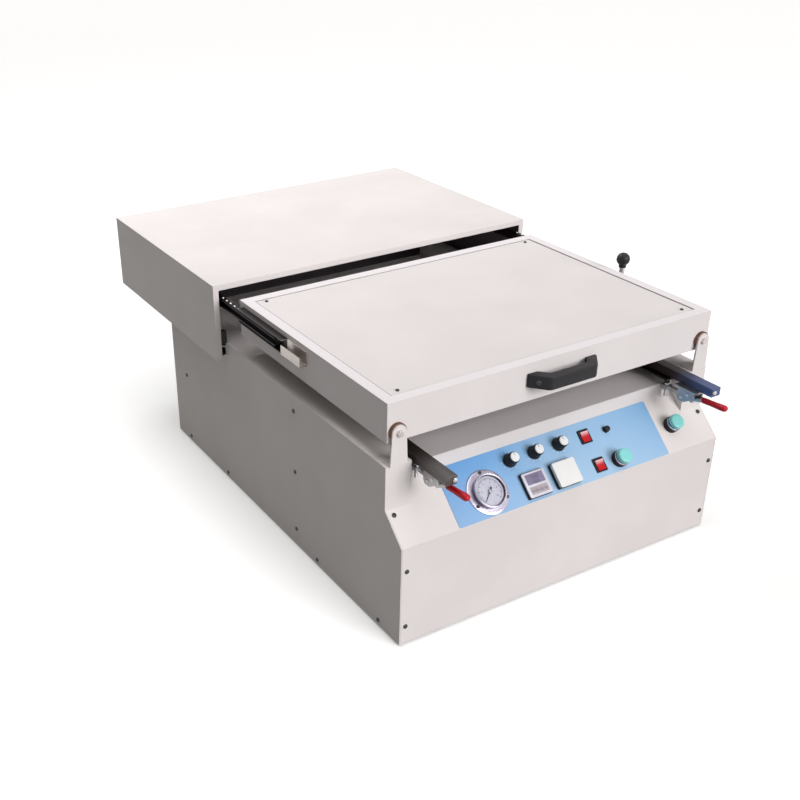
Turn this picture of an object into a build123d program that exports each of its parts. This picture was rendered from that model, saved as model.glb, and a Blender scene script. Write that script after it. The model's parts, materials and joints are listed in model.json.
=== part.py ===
from build123d import *
import math
import os

# Bench vacuum forming machine. Millimetres, +Z up, X across the machine, Y from the control face
# (front) to the back. The origin is on the floor under the middle of the whole machine. All depths
# below are measured from the upright front face of the cabinet; MACHINE carries them to the origin.

# ---- driving dimensions -------------------------------------------------------------------------
SHEET = 1.5                    # cabinet and hood sheet metal
GAP = 0.3                      # assembly clearance round things that pass through a hole
RUNNING_FIT = 0.05             # radial clearance of shafts and posts in their bushes
CABINET_W = 680.0
CABINET_D = 863.0
FLOOR_GAP = 3.0                # the rubber pads lift the cabinet this far
CREASE_Z = 189.0               # top of the upright front face
SLOPE_TOP_Y = 76.5             # top edge of the sloping control face
SLOPE_TOP_Z = 261.0
DECK_Z = 285.0                 # top of the deck round the forming opening
CHEEK_Y = 48.0                 # front of the raised cheeks beside the deck
CHEEK_W = 48.0
CHEEK_Z = 311.0
DECK_OPENING_X = 248.0
DECK_OPENING_Y = (174.0, 486.0)

HEATER_W = 671.0
HEATER_Y = 52.7
HEATER_D = 483.3
HEATER_Z = 349.0
HEATER_H = 68.0
LID_RIM = 19.5
LID_DROP = 1.2
ELEMENT_COUNT = 9
ELEMENT_R = 6.0

HOOD_W = 725.0
HOOD_Y = 591.0
HOOD_D = 484.0
HOOD_Z = 280.0
HOOD_H = 150.0
HOOD_LIP = 11.0
HOOD_RETURN = 11.0

# Telescopic slides: the members on the heater box hold the middle members, and these hold the
# fixed members, which reach into the hood from their rear half.
SLIDE_Z = 395.5
HEATER_SLIDE_Y = (356.0, 520.0)
MIDDLE_SLIDE_Y = (380.0, 830.0)
FIXED_SLIDE_Y = (600.0, 1070.0)
SLIDE_WALL = 1.5
MIDDLE_WALL = 1.2
FRONT_BALL_R = 2.0             # balls between the heater members and the middle members
REAR_BALL_R = 1.0              # balls between the middle members and the fixed members
BALL_PLAY = 0.1
BALL_PITCH = 16.0
HEATER_SLIDE_H = 25.0
MIDDLE_SLIDE_H = HEATER_SLIDE_H - 2 * SLIDE_WALL - 4 * FRONT_BALL_R - 2 * BALL_PLAY
FIXED_SLIDE_H = MIDDLE_SLIDE_H - 2 * MIDDLE_WALL - 4 * REAR_BALL_R - 2 * BALL_PLAY

FRAME_X = 286.0                # outside of the sheet clamping frames
FRAME_Y = (150.0, 520.0)
FRAME_SIDE_BAR = 34.0
FRAME_CROSS_BAR = 30.0
FRAME_H = 15.0
FRAME_WALL = 2.0
GASKET_H = 3.0
ARM_TIP_Y = -33.0
ARM_W = 20.0

PLATEN_X = 244.0
PLATEN_Y = (183.0, 482.0)
PLATEN_Z = 232.0               # top of the platen when it is down
PLATEN_T = 10.0
AIR_HOLE_PITCH = 25.0
PLENUM_H = 30.0
PLENUM_INSET = 9.0
POST_X = 262.0
POST_Y = (220.0, 440.0)
POST_R = 8.0
RISER_Y = 400.0
RISER_R = 15.0

GEAR_MODULE = 4.0
GEAR_TEETH = 20
GEAR_WIDTH = 18.0
PRESSURE_ANGLE = math.radians(20)
BACKLASH = 0.3
GEAR_X = 180.0
SHAFT_Y = 285.0
SHAFT_Z = 130.0
SHAFT_R = 8.0
LEVER_X = 350.0
LEVER_R = 5.0
BALL_KNOB_Z = 437.0
BALL_KNOB_R = 12.5

CLAMP_X = 269.0                # centre line of each arm and of the toggle clamp under it
BAR_PIVOT = (22.0, 283.0)      # pivots of the toggle clamp, depth and height
HANDLE_PIVOT = (6.0, 280.0)
LINK_PIVOT = (10.0, 292.0)
LINK_END = (6.45, 284.52)
PIN_R = 2.0
SMALL_PIN_R = 1.4
LINK_END_PLAY = 0.5            # the handle's hole round the pin at LINK_END
SPINDLE_Y = 68.0
GRIP_R = 6.5
GRIP_START = (-13.0, 289.5)
GRIP_END = (-59.5, 293.5)      # centre of the rounded end

# Things on the control face: x across, s up the slope from the crease.
OVERLAY_X = (-229.0, 224.0)
OVERLAY_S = (1.0, 104.0)
OVERLAY_T = 0.8
GAUGE_AT = (-154.0, 41.0)
GAUGE_FLANGE_R = 38.5
GAUGE_CASE_R = 30.0
GAUGE_H = 12.0
KNOBS_AT = [(-90.3, 78.6), (-39.2, 78.6), (13.2, 78.6)]
KNOB_H = 21.0
ROCKERS_AT = [(71.5, 77.0), (74.5, 23.0)]
ROCKER_W = 23.0
ROCKER_L = 25.0
ROCKER_TILT = 6.0
START_BUTTON_AT = (117.0, 21.0)
SIDE_BUTTON_AT = (255.5, 47.5)
RESET_BUTTON_AT = (119.0, 77.0)
CONTROLLER_AT = (-63.5, 28.0)
COUNTER_AT = (-1.5, 28.0)
INSTRUMENT_W = 48.0
INSTRUMENT_L = 44.0

# ---- worked out from them -----------------------------------------------------------------------
HALF_W = CABINET_W / 2
WALL_X = HALF_W - SHEET
CHEEK_X = HALF_W - CHEEK_W
HALF_HEATER = HEATER_W / 2
HEATER_BACK = HEATER_Y + HEATER_D
HEATER_TOP = HEATER_Z + HEATER_H
HALF_HOOD = HOOD_W / 2
HOOD_INNER = HALF_HOOD - SHEET
HOOD_BACK = HOOD_Y + HOOD_D
HOOD_TOP = HOOD_Z + HOOD_H
FRONT_Y = -(HOOD_BACK + GRIP_END[0] - GRIP_R) / 2
SLOPE = math.atan2(SLOPE_TOP_Z - CREASE_Z, SLOPE_TOP_Y)
GASKET_Z = DECK_Z + FRAME_H
ARM_Z = GASKET_Z + GASKET_H
PITCH_R = GEAR_MODULE * GEAR_TEETH / 2
RACK_PITCH = math.pi * GEAR_MODULE
RACK_Y = SHAFT_Y + PITCH_R
PLENUM_X = PLATEN_X - PLENUM_INSET
PLENUM_Y = (PLATEN_Y[0] + PLENUM_INSET, PLATEN_Y[1] - PLENUM_INSET)
PLENUM_Z = (PLATEN_Z - PLATEN_T - PLENUM_H, PLATEN_Z - PLATEN_T)
GREEN_BUTTONS_AT = [START_BUTTON_AT, SIDE_BUTTON_AT]
SIDES = (-1, 1)

MACHINE = Plane(origin=(0, FRONT_Y, 0))
PANEL = Plane(origin=(0, FRONT_Y, CREASE_Z), x_dir=(1, 0, 0), z_dir=(0, -math.sin(SLOPE), math.cos(SLOPE)))


# ---- planes --------------------------------------------------------------------------------------
def level(z):
    """Horizontal plane: local axes are X and depth."""
    return Plane(origin=(0, FRONT_Y, z))


def section(x):
    """Upright plane along the machine: local axes are depth and height, normal +X."""
    return Plane(origin=(x, FRONT_Y, 0), x_dir=(0, 1, 0), z_dir=(1, 0, 0))


def upright(y):
    """Upright plane across the machine: local axes are X and height, normal to the front."""
    return Plane(origin=(0, FRONT_Y + y, 0), x_dir=(1, 0, 0), z_dir=(0, -1, 0))


def on_face(at, height=0.0):
    """Plane on the printed control face, centred at (x, s), normal out of the face."""
    local = Vector(at[0], at[1], OVERLAY_T + height)
    return Plane(origin=PANEL.from_local_coords(local), x_dir=PANEL.x_dir, z_dir=PANEL.z_dir)


# ---- shapes added to the sub-part being built ----------------------------------------------------
def block(x, y, z, mode=Mode.ADD):
    """A box between two limits on each axis."""
    with Locations(((x[0] + x[1]) / 2, (y[0] + y[1]) / 2, (z[0] + z[1]) / 2)):
        Box(x[1] - x[0], y[1] - y[0], z[1] - z[0], mode=mode)


def rod_x(x, y, z, radius, mode=Mode.ADD):
    """A round bar along X between two limits."""
    with Locations(((x[0] + x[1]) / 2, y, z)):
        Cylinder(radius, x[1] - x[0], rotation=(0, 90, 0), mode=mode)


def rod_y(x, y, z, radius, mode=Mode.ADD):
    """A round bar along the depth between two limits."""
    with Locations((x, (y[0] + y[1]) / 2, z)):
        Cylinder(radius, y[1] - y[0], rotation=(90, 0, 0), mode=mode)


def rod_z(x, y, z, radius, mode=Mode.ADD):
    """An upright round bar between two limits."""
    with Locations((x, y, (z[0] + z[1]) / 2)):
        Cylinder(radius, z[1] - z[0], mode=mode)


def ring_of_bars(half_x, y, z, bar_x, bar_y, mode=Mode.ADD):
    """A rectangular frame: outside half width, depth limits, height limits, bar widths."""
    with BuildSketch(level(z[0])) as outline:
        with Locations((0, (y[0] + y[1]) / 2)):
            Rectangle(2 * half_x, y[1] - y[0])
            Rectangle(2 * (half_x - bar_x), y[1] - y[0] - 2 * bar_y, mode=Mode.SUBTRACT)
    extrude(outline.sketch, amount=z[1] - z[0], mode=mode)


def boss(at, radius, low, high, mode=Mode.ADD):
    """A round standing on the control face between two heights."""
    with BuildSketch(on_face(at, low)) as outline:
        Circle(radius)
    extrude(outline.sketch, amount=high - low, mode=mode)


def tile(at, width, length, low, high, mode=Mode.ADD, corner=0.0):
    """A rectangle standing on the control face between two heights."""
    with BuildSketch(on_face(at, low)) as outline:
        if corner > 0:
            RectangleRounded(width, length, corner)
        else:
            Rectangle(width, length)
    extrude(outline.sketch, amount=high - low, mode=mode)


def finish(builder, name):
    """Labels a finished sub-part and writes it."""
    builder.part.label = name
    export_step(builder.part, f"parts/{name}.step")


os.makedirs("parts", exist_ok=True)

# ==== cabinet =====================================================================================
PAN_FLANGE = 22.0
PAN_FLANGE_Y = 32.0
PAN_VENTS_AT = [(0, 150), (0, 640)]
PAN_VENT = (90.0, 5.0)
PAN_VENT_PITCH = (120.0, 16.0)
FOOT_R = 20.0
FEET_AT = [(-290, 60), (290, 60), (-290, 800), (290, 800), (-290, 430), (290, 430)]
SCREW_R = 2.0
SCREW_HEAD_R = 4.0
SCREW_HEAD_H = 2.2
SCREW_GRIP = 6.0
SIDE_SCREWS_AT = [(335, 38), (335, 159), (335, 281), (62, 14), (261, 14), (620, 14), (800, 14), (800, 159)]
FRONT_SCREWS_AT = [(-329, 38), (329, 38), (-329, 145), (329, 145)]
SLOPE_SCREWS_AT = [(-328, 55), (328, 55)]
REAR_SCREWS_AT = [(-325, 40), (325, 40), (-325, 250), (325, 250), (0, 270)]
GAUGE_SCREW_R = 34.0
BEARING_R = 11.0

with BuildPart(MACHINE) as base_pan:
    block((-WALL_X, WALL_X), (SHEET, CABINET_D - SHEET), (FLOOR_GAP, FLOOR_GAP + SHEET))
    for side in SIDES:
        flange_x = sorted((side * (WALL_X - SHEET), side * WALL_X))
        block(flange_x, (PAN_FLANGE_Y, CABINET_D - SHEET), (FLOOR_GAP, FLOOR_GAP + PAN_FLANGE))
    with BuildSketch(level(FLOOR_GAP)):
        with Locations(*PAN_VENTS_AT):
            with GridLocations(*PAN_VENT_PITCH, 4, 5):
                SlotOverall(*PAN_VENT)
    extrude(amount=SHEET, mode=Mode.SUBTRACT)
    for y, z in SIDE_SCREWS_AT:
        if z < FLOOR_GAP + PAN_FLANGE:
            rod_x((-HALF_W, HALF_W), y, z, SCREW_R + GAP, Mode.SUBTRACT)
finish(base_pan, "base_pan")

SIDE_PROFILE = [
    (0, FLOOR_GAP),
    (0, CREASE_Z),
    (CHEEK_Y, CREASE_Z + CHEEK_Y * math.tan(SLOPE)),
    (CHEEK_Y, CHEEK_Z),
    (CABINET_D, CHEEK_Z),
    (CABINET_D, FLOOR_GAP),
]
CHEEK_INNER_PROFILE = [
    (CHEEK_Y, CREASE_Z + CHEEK_Y * math.tan(SLOPE)),
    (SLOPE_TOP_Y, SLOPE_TOP_Z),
    (SLOPE_TOP_Y, DECK_Z),
    (CABINET_D, DECK_Z),
    (CABINET_D, CHEEK_Z),
    (CHEEK_Y, CHEEK_Z),
]


def side_panel(side):
    """One side of the cabinet with its folded cheek; adds to the current sub-part."""
    with BuildSketch(section(WALL_X)) as wall:
        Polygon(*SIDE_PROFILE, align=None)
    extrude(wall.sketch, amount=SHEET)
    with BuildSketch(section(CHEEK_X)) as inner_wall:
        Polygon(*CHEEK_INNER_PROFILE, align=None)
    extrude(inner_wall.sketch, amount=SHEET)
    block((CHEEK_X, WALL_X), (CHEEK_Y, CABINET_D), (CHEEK_Z - SHEET, CHEEK_Z))
    with BuildSketch(section(CHEEK_X)) as cheek_front:
        slope_foot = CREASE_Z + CHEEK_Y * math.tan(SLOPE)
        slope_heel = CREASE_Z + (CHEEK_Y + SHEET) * math.tan(SLOPE)
        Polygon((CHEEK_Y, slope_foot), (CHEEK_Y + SHEET, slope_heel),
                (CHEEK_Y + SHEET, CHEEK_Z), (CHEEK_Y, CHEEK_Z), align=None)
    extrude(cheek_front.sketch, amount=CHEEK_W - SHEET)
    for y, z in SIDE_SCREWS_AT:
        rod_x((WALL_X, HALF_W), y, z, SCREW_R + GAP, Mode.SUBTRACT)
    if side > 0:
        rod_x((WALL_X, HALF_W), SHAFT_Y, SHAFT_Z, BEARING_R + RUNNING_FIT, Mode.SUBTRACT)
    else:
        mirror(about=Plane.YZ, mode=Mode.REPLACE)


with BuildPart(MACHINE) as left_side_panel:
    side_panel(-1)
finish(left_side_panel, "left_side_panel")

with BuildPart(MACHINE) as right_side_panel:
    side_panel(1)
finish(right_side_panel, "right_side_panel")


def cut_face_openings():
    """Clears everything that passes through the control face."""
    through = -4 * SHEET
    boss(GAUGE_AT, GAUGE_CASE_R + GAP, through, SHEET, Mode.SUBTRACT)
    for at in KNOBS_AT:
        boss(at, POT_BUSH_R + GAP, through, SHEET, Mode.SUBTRACT)
    for at in ROCKERS_AT:
        tile(at, ROCKER_W - 2 + GAP, ROCKER_L - 2 + GAP, through, SHEET, Mode.SUBTRACT)
    for at in GREEN_BUTTONS_AT:
        boss(at, BUTTON_BARREL_R + GAP, through, SHEET, Mode.SUBTRACT)
    boss(RESET_BUTTON_AT, RESET_BARREL_R + GAP, through, SHEET, Mode.SUBTRACT)
    for at in (CONTROLLER_AT, COUNTER_AT):
        tile(at, INSTRUMENT_W - 3 + GAP, INSTRUMENT_L - 3 + GAP, through, SHEET, Mode.SUBTRACT)
    for x, s in gauge_screws():
        boss((x, s), SCREW_R + GAP, through, SHEET, Mode.SUBTRACT)


def gauge_screws():
    """Centres of the three screws in the gauge flange, on the control face."""
    turns = [math.radians(90 + 120 * k) for k in range(3)]
    x, s = GAUGE_AT
    return [(x + GAUGE_SCREW_R * math.cos(t), s + GAUGE_SCREW_R * math.sin(t)) for t in turns]


POT_BUSH_R = 4.5
POT_BODY_R = 8.0
POT_SHAFT_R = 3.0
POT_NUT_R = 6.5
POT_BACK = -14.0
POT_BUSH_H = 5.0
BUTTON_COLLAR_R = 14.5
BUTTON_BARREL_R = 11.0
BUTTON_STEM_R = 8.0
BUTTON_CAP_R = 13.5
BUTTON_COLLAR_H = 10.0
BUTTON_RING_H = 2.0
BUTTON_TRAVEL = 2.5
BUTTON_CAP_H = 8.0
RESET_BARREL_R = 4.5
RESET_STEM_R = 2.5
RESET_CAP_R = 5.0
RESET_COLLAR_H = 2.5
RESET_TRAVEL = 1.5
FOOT_RETURN = 30.0             # fold under the front edge of the cabinet
DECK_FLANGE_Z = DECK_Z - 15    # lower edge of the flange round the forming opening

with BuildPart(MACHINE) as front_panel:
    panel_x = WALL_X - GAP
    with BuildSketch(section(-panel_x)):
        with BuildLine():
            Polyline((FOOT_RETURN, FLOOR_GAP + SHEET), (0, FLOOR_GAP + SHEET), (0, CREASE_Z),
                     (SLOPE_TOP_Y, SLOPE_TOP_Z), (SLOPE_TOP_Y, DECK_Z - SHEET))
            offset(amount=SHEET, side=Side.RIGHT)
        make_face()
    extrude(amount=2 * panel_x)
    cut_face_openings()
    for x, s in SLOPE_SCREWS_AT:
        boss((x, s), SCREW_R + GAP, -4 * SHEET, SHEET, Mode.SUBTRACT)
    for x, z in FRONT_SCREWS_AT:
        rod_y(x, (-SHEET, 2 * SHEET), z, SCREW_R + GAP, Mode.SUBTRACT)
finish(front_panel, "front_panel")

with BuildPart(MACHINE) as top_deck:
    block((-WALL_X, WALL_X), (SLOPE_TOP_Y, CABINET_D - SHEET), (DECK_Z - SHEET, DECK_Z))
    block((-DECK_OPENING_X, DECK_OPENING_X), DECK_OPENING_Y, (DECK_Z - SHEET, DECK_Z), Mode.SUBTRACT)
    flange_y = (DECK_OPENING_Y[0] - SHEET, DECK_OPENING_Y[1] + SHEET)
    ring_of_bars(DECK_OPENING_X + SHEET, flange_y, (DECK_FLANGE_Z, DECK_Z - SHEET), SHEET, SHEET)
finish(top_deck, "top_deck")

INLET_AT = (-240.0, 70.0)
INLET_W = 27.0
INLET_H = 20.0
FAN_AT = (210.0, 130.0)
FAN_RINGS = (14, 26, 38, 50)
FAN_HOLE_R = 3.6
REAR_VENTS_AT = (-60.0, 165.0)
REAR_VENT = (110.0, 7.0)
REAR_VENT_PITCH = (130.0, 18.0)
with BuildPart(MACHINE) as rear_panel:
    with BuildSketch(upright(CABINET_D)):
        with Locations((0, (FLOOR_GAP + DECK_Z - SHEET) / 2)):
            Rectangle(2 * WALL_X, DECK_Z - SHEET - FLOOR_GAP)
        with Locations(INLET_AT):
            Rectangle(INLET_W + GAP, INLET_H + GAP, mode=Mode.SUBTRACT)
        with Locations(REAR_VENTS_AT):
            with GridLocations(*REAR_VENT_PITCH, 2, 8):
                SlotOverall(*REAR_VENT, mode=Mode.SUBTRACT)
        with Locations(FAN_AT):
            for ring_r in FAN_RINGS:
                with PolarLocations(ring_r, 6 + ring_r // 6):
                    Circle(FAN_HOLE_R, mode=Mode.SUBTRACT)
        with Locations(*REAR_SCREWS_AT):
            Circle(SCREW_R + GAP, mode=Mode.SUBTRACT)
    extrude(amount=SHEET)
    for side in SIDES:
        cheek = sorted((side * (CHEEK_X + SHEET), side * WALL_X))
        block(cheek, (CABINET_D - SHEET, CABINET_D), (DECK_Z, CHEEK_Z - SHEET))
finish(rear_panel, "rear_panel")

BUFFER_X = (338.5, 350.0)      # rubber buffers under the slides at the mouth of the hood
BUFFER_Y = (594.0, 606.0)
BUFFER_Z = (CHEEK_Z, CHEEK_Z + 24)
with BuildPart(MACHINE) as rubber_pads:
    for x, y in FEET_AT:
        rod_z(x, y, (0, FLOOR_GAP), FOOT_R)
    for side in SIDES:
        block(sorted((side * BUFFER_X[0], side * BUFFER_X[1])), BUFFER_Y, BUFFER_Z)
finish(rubber_pads, "rubber_pads")

# ==== hood and slides =============================================================================
RAIL_Z = (286.0, 306.0)
RAIL_Y = (594.0, 862.0)
RAIL_WALL = 2.0
SLIDE_MOUNT_Y = (845.0, 1070.0)    # where the fixed members are held to the hood
SLIDE_MOUNT_X = 349.6
HOOD_VENT = (110.0, 6.0)
HOOD_VENT_PITCH = (130.0, 16.0)
FIXED_SLIDE_X = (339.8, 348.4)
MIDDLE_SLIDE_X = (337.8, 348.4)
HEATER_SLIDE_X = (HALF_HEATER, 349.0)
SLIDE_BLOCK_Z = (SLIDE_Z - HEATER_SLIDE_H / 2, SLIDE_Z + HEATER_SLIDE_H / 2)
FRONT_CAGE_Y = (384.0, 600.0)
REAR_CAGE_Y = (602.0, 828.0)
FRONT_CAGE_X = (341.4, 347.4)
REAR_CAGE_X = (341.4, 345.4)
CAGE_T = 0.8
# Trough at the front end of each heater member.
TROUGH_Y = (291.0, HEATER_SLIDE_Y[0])
TROUGH_X = (HALF_HEATER, 350.5)
TROUGH_OUTER_Z = 400.0

with BuildPart(MACHINE) as hood_shell:
    block((-HALF_HOOD, HALF_HOOD), (HOOD_Y, HOOD_BACK), (HOOD_Z, HOOD_TOP))
    inner_y = (HOOD_Y + SHEET, HOOD_BACK - SHEET)
    block((-HOOD_INNER, HOOD_INNER), inner_y, (HOOD_Z + SHEET, HOOD_TOP - SHEET), Mode.SUBTRACT)
    mouth_x = HALF_HOOD - HOOD_RETURN
    block((-mouth_x, mouth_x), (HOOD_Y, HOOD_Y + SHEET), (HOOD_Z, HOOD_TOP - HOOD_LIP), Mode.SUBTRACT)
    floor_y = (HOOD_Y, CABINET_D + 2)
    block((-HOOD_INNER, HOOD_INNER), floor_y, (HOOD_Z, HOOD_Z + SHEET), Mode.SUBTRACT)
    with BuildSketch(upright(HOOD_BACK)):
        with Locations((0, (HOOD_Z + HOOD_TOP) / 2)):
            with GridLocations(*HOOD_VENT_PITCH, 4, 5):
                SlotOverall(*HOOD_VENT)
    extrude(amount=SHEET, mode=Mode.SUBTRACT)
finish(hood_shell, "hood_shell")

with BuildPart(MACHINE) as hood_rails:
    block((HALF_W, HOOD_INNER), RAIL_Y, RAIL_Z)
    tube_x = (HALF_W + RAIL_WALL, HOOD_INNER - RAIL_WALL)
    block(tube_x, RAIL_Y, (RAIL_Z[0] + RAIL_WALL, RAIL_Z[1] - RAIL_WALL), Mode.SUBTRACT)
    block((SLIDE_MOUNT_X, HOOD_INNER), SLIDE_MOUNT_Y, SLIDE_BLOCK_Z)
    spacer_z = (SLIDE_Z - FIXED_SLIDE_H / 2, SLIDE_Z + FIXED_SLIDE_H / 2)
    block((FIXED_SLIDE_X[1], SLIDE_MOUNT_X), SLIDE_MOUNT_Y, spacer_z)
    mirror(about=Plane.YZ)
finish(hood_rails, "hood_rails")


def channel(x, y, height, wall, web_outside):
    """A slide channel on the right-hand side, its web on the outer or inner side."""
    z = (SLIDE_Z - height / 2, SLIDE_Z + height / 2)
    block(x, y, z)
    if web_outside:
        hollow = (x[0], x[1] - wall)
    else:
        hollow = (x[0] + wall, x[1])
    block(hollow, y, (z[0] + wall, z[1] - wall), Mode.SUBTRACT)


def ball_row(x, y, z, radius):
    """A cage strip along the slide with its row of balls."""
    block(x, y, (z - CAGE_T / 2, z + CAGE_T / 2))
    count = int((y[1] - y[0]) / BALL_PITCH)
    with Locations(((x[0] + x[1]) / 2, (y[0] + y[1]) / 2, z)):
        with GridLocations(1, BALL_PITCH, 1, count):
            Sphere(radius)


with BuildPart(MACHINE) as slide_outer_members:
    channel(FIXED_SLIDE_X, FIXED_SLIDE_Y, FIXED_SLIDE_H, SLIDE_WALL, True)
    mirror(about=Plane.YZ)
finish(slide_outer_members, "slide_outer_members")

with BuildPart(MACHINE) as slide_middle_members:
    channel(MIDDLE_SLIDE_X, MIDDLE_SLIDE_Y, MIDDLE_SLIDE_H, MIDDLE_WALL, False)
    front_race = (HEATER_SLIDE_H / 2 - SLIDE_WALL + MIDDLE_SLIDE_H / 2) / 2
    rear_race = (MIDDLE_SLIDE_H / 2 - MIDDLE_WALL + FIXED_SLIDE_H / 2) / 2
    for up in SIDES:
        ball_row(FRONT_CAGE_X, FRONT_CAGE_Y, SLIDE_Z + up * front_race, FRONT_BALL_R)
        ball_row(REAR_CAGE_X, REAR_CAGE_Y, SLIDE_Z + up * rear_race, REAR_BALL_R)
    mirror(about=Plane.YZ)
finish(slide_middle_members, "slide_middle_members")

with BuildPart(MACHINE) as slide_inner_members:
    channel(HEATER_SLIDE_X, HEATER_SLIDE_Y, HEATER_SLIDE_H, SLIDE_WALL, False)
    floor_z = (SLIDE_BLOCK_Z[0], SLIDE_BLOCK_Z[0] + SLIDE_WALL)
    block(TROUGH_X, TROUGH_Y, floor_z)
    block((TROUGH_X[0], TROUGH_X[0] + SLIDE_WALL), TROUGH_Y, SLIDE_BLOCK_Z)
    block((TROUGH_X[1] - SLIDE_WALL, TROUGH_X[1]), TROUGH_Y, (SLIDE_BLOCK_Z[0], TROUGH_OUTER_Z))
    mirror(about=Plane.YZ)
finish(slide_inner_members, "slide_inner_members")

# ==== heater ======================================================================================
LID_X = HALF_HEATER - LID_RIM - 1
LID_Y = (HEATER_Y + LID_RIM + 1, HEATER_BACK - LID_RIM - 1)
LEDGE = 10.0
FLANGE_X = 14.0                # return flange along the lower edge of the heater box
FLANGE_Y = 12.0
LID_TOP = HEATER_TOP - LID_DROP
LID_SCREWS_AT = [(-297, 84), (297, 84), (-297, 505), (297, 505)]
TRAY_X = 323.0
TRAY_Y = (63.0, 525.0)
TRAY_Z = (HEATER_Z + SHEET, 392.0)
TRAY_WALL = 1.0
ELEMENT_Z = 370.0
ELEMENT_END = 18.0
CAP_R = ELEMENT_R + 2

with BuildPart(MACHINE) as heater_shell:
    block((-HALF_HEATER, HALF_HEATER), (HEATER_Y, HEATER_BACK), (HEATER_Z, HEATER_TOP))
    shell_x = HALF_HEATER - SHEET
    shell_y = (HEATER_Y + SHEET, HEATER_BACK - SHEET)
    block((-shell_x, shell_x), shell_y, (HEATER_Z, HEATER_TOP - SHEET), Mode.SUBTRACT)
    mouth_y = (HEATER_Y + LID_RIM, HEATER_BACK - LID_RIM)
    mouth_x = HALF_HEATER - LID_RIM
    block((-mouth_x, mouth_x), mouth_y, (HEATER_TOP - SHEET, HEATER_TOP), Mode.SUBTRACT)
    ledge_z = (LID_TOP - 2 * SHEET, LID_TOP - SHEET)
    ring_of_bars(shell_x, shell_y, ledge_z, LID_RIM + LEDGE, LID_RIM + LEDGE)
    ring_of_bars(shell_x, shell_y, (HEATER_Z, HEATER_Z + SHEET), FLANGE_X, FLANGE_Y)
finish(heater_shell, "heater_shell")

with BuildPart(MACHINE) as heater_lid:
    block((-LID_X, LID_X), LID_Y, (LID_TOP - SHEET, LID_TOP))
    fillet(heater_lid.edges().filter_by(Axis.Z), 3)
    for x, y in LID_SCREWS_AT:
        rod_z(x, y, (LID_TOP - 2 * SHEET, LID_TOP), SCREW_R + GAP, Mode.SUBTRACT)
finish(heater_lid, "heater_lid")

with BuildPart(MACHINE) as heater_screws:
    for x, y in LID_SCREWS_AT:
        rod_z(x, y, (LID_TOP, LID_TOP + SCREW_HEAD_H), SCREW_HEAD_R)
        rod_z(x, y, (LID_TOP - SHEET, LID_TOP), SCREW_R)
    with BuildSketch(level(LID_TOP + SCREW_HEAD_H / 2)):
        with Locations(*LID_SCREWS_AT):
            Rectangle(5, 1)
            Rectangle(1, 5)
    extrude(amount=SCREW_HEAD_H / 2, mode=Mode.SUBTRACT)
finish(heater_screws, "heater_screws")

with BuildPart(MACHINE) as reflector:
    block((-TRAY_X, TRAY_X), TRAY_Y, TRAY_Z)
    tray_in = TRAY_X - TRAY_WALL
    inside_y = (TRAY_Y[0] + TRAY_WALL, TRAY_Y[1] - TRAY_WALL)
    block((-tray_in, tray_in), inside_y, (TRAY_Z[0], TRAY_Z[1] - TRAY_WALL), Mode.SUBTRACT)
finish(reflector, "reflector")

with BuildPart(MACHINE) as quartz_elements:
    tray_in = TRAY_X - TRAY_WALL
    element_x = tray_in - ELEMENT_END
    pitch = (TRAY_Y[1] - TRAY_Y[0]) / ELEMENT_COUNT
    for k in range(ELEMENT_COUNT):
        y = TRAY_Y[0] + pitch * (k + 0.5)
        rod_x((-element_x, element_x), y, ELEMENT_Z, ELEMENT_R)
        for side in SIDES:
            rod_x(sorted((side * element_x, side * tray_in)), y, ELEMENT_Z, CAP_R)
            hanger_x = sorted((side * (element_x + 4), side * tray_in))
            block(hanger_x, (y - CAP_R + 1, y + CAP_R - 1), (ELEMENT_Z, TRAY_Z[1] - TRAY_WALL))
finish(quartz_elements, "quartz_elements")

HANDLE_FOOT_X = (50.0, 71.0)   # inside and outside of each foot
HANDLE_GRIP_X = (37.0, 47.0)   # inside and outside ends of the grip
HANDLE_Z = (376.0, 399.0)
HANDLE_REACH_Y = 20.0
HANDLE_GRIP_T = 14.0
HANDLE_TOE = 4.0               # upright edge where each leg meets the heater
with BuildPart(MACHINE) as heater_handle:
    with BuildSketch(level(HANDLE_Z[0])):
        right_half = [
            (HANDLE_GRIP_X[1], HANDLE_REACH_Y),
            (HANDLE_FOOT_X[1], HEATER_Y - HANDLE_TOE),
            (HANDLE_FOOT_X[1], HEATER_Y),
            (HANDLE_FOOT_X[0], HEATER_Y),
            (HANDLE_FOOT_X[0], HEATER_Y - HANDLE_TOE - 2),
            (HANDLE_GRIP_X[0], HANDLE_REACH_Y + HANDLE_GRIP_T),
        ]
        left_half = [(-x, y) for x, y in reversed(right_half)]
        Polygon(*right_half, *left_half, align=None)
    extrude(amount=HANDLE_Z[1] - HANDLE_Z[0])
    grip_edges = heater_handle.edges().filter_by(Axis.X).group_by(Axis.Y)
    fillet(grip_edges[0], 4)
    fillet(heater_handle.edges().filter_by(Axis.Z).group_by(Axis.Y)[0], 6)
finish(heater_handle, "heater_handle")

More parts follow.
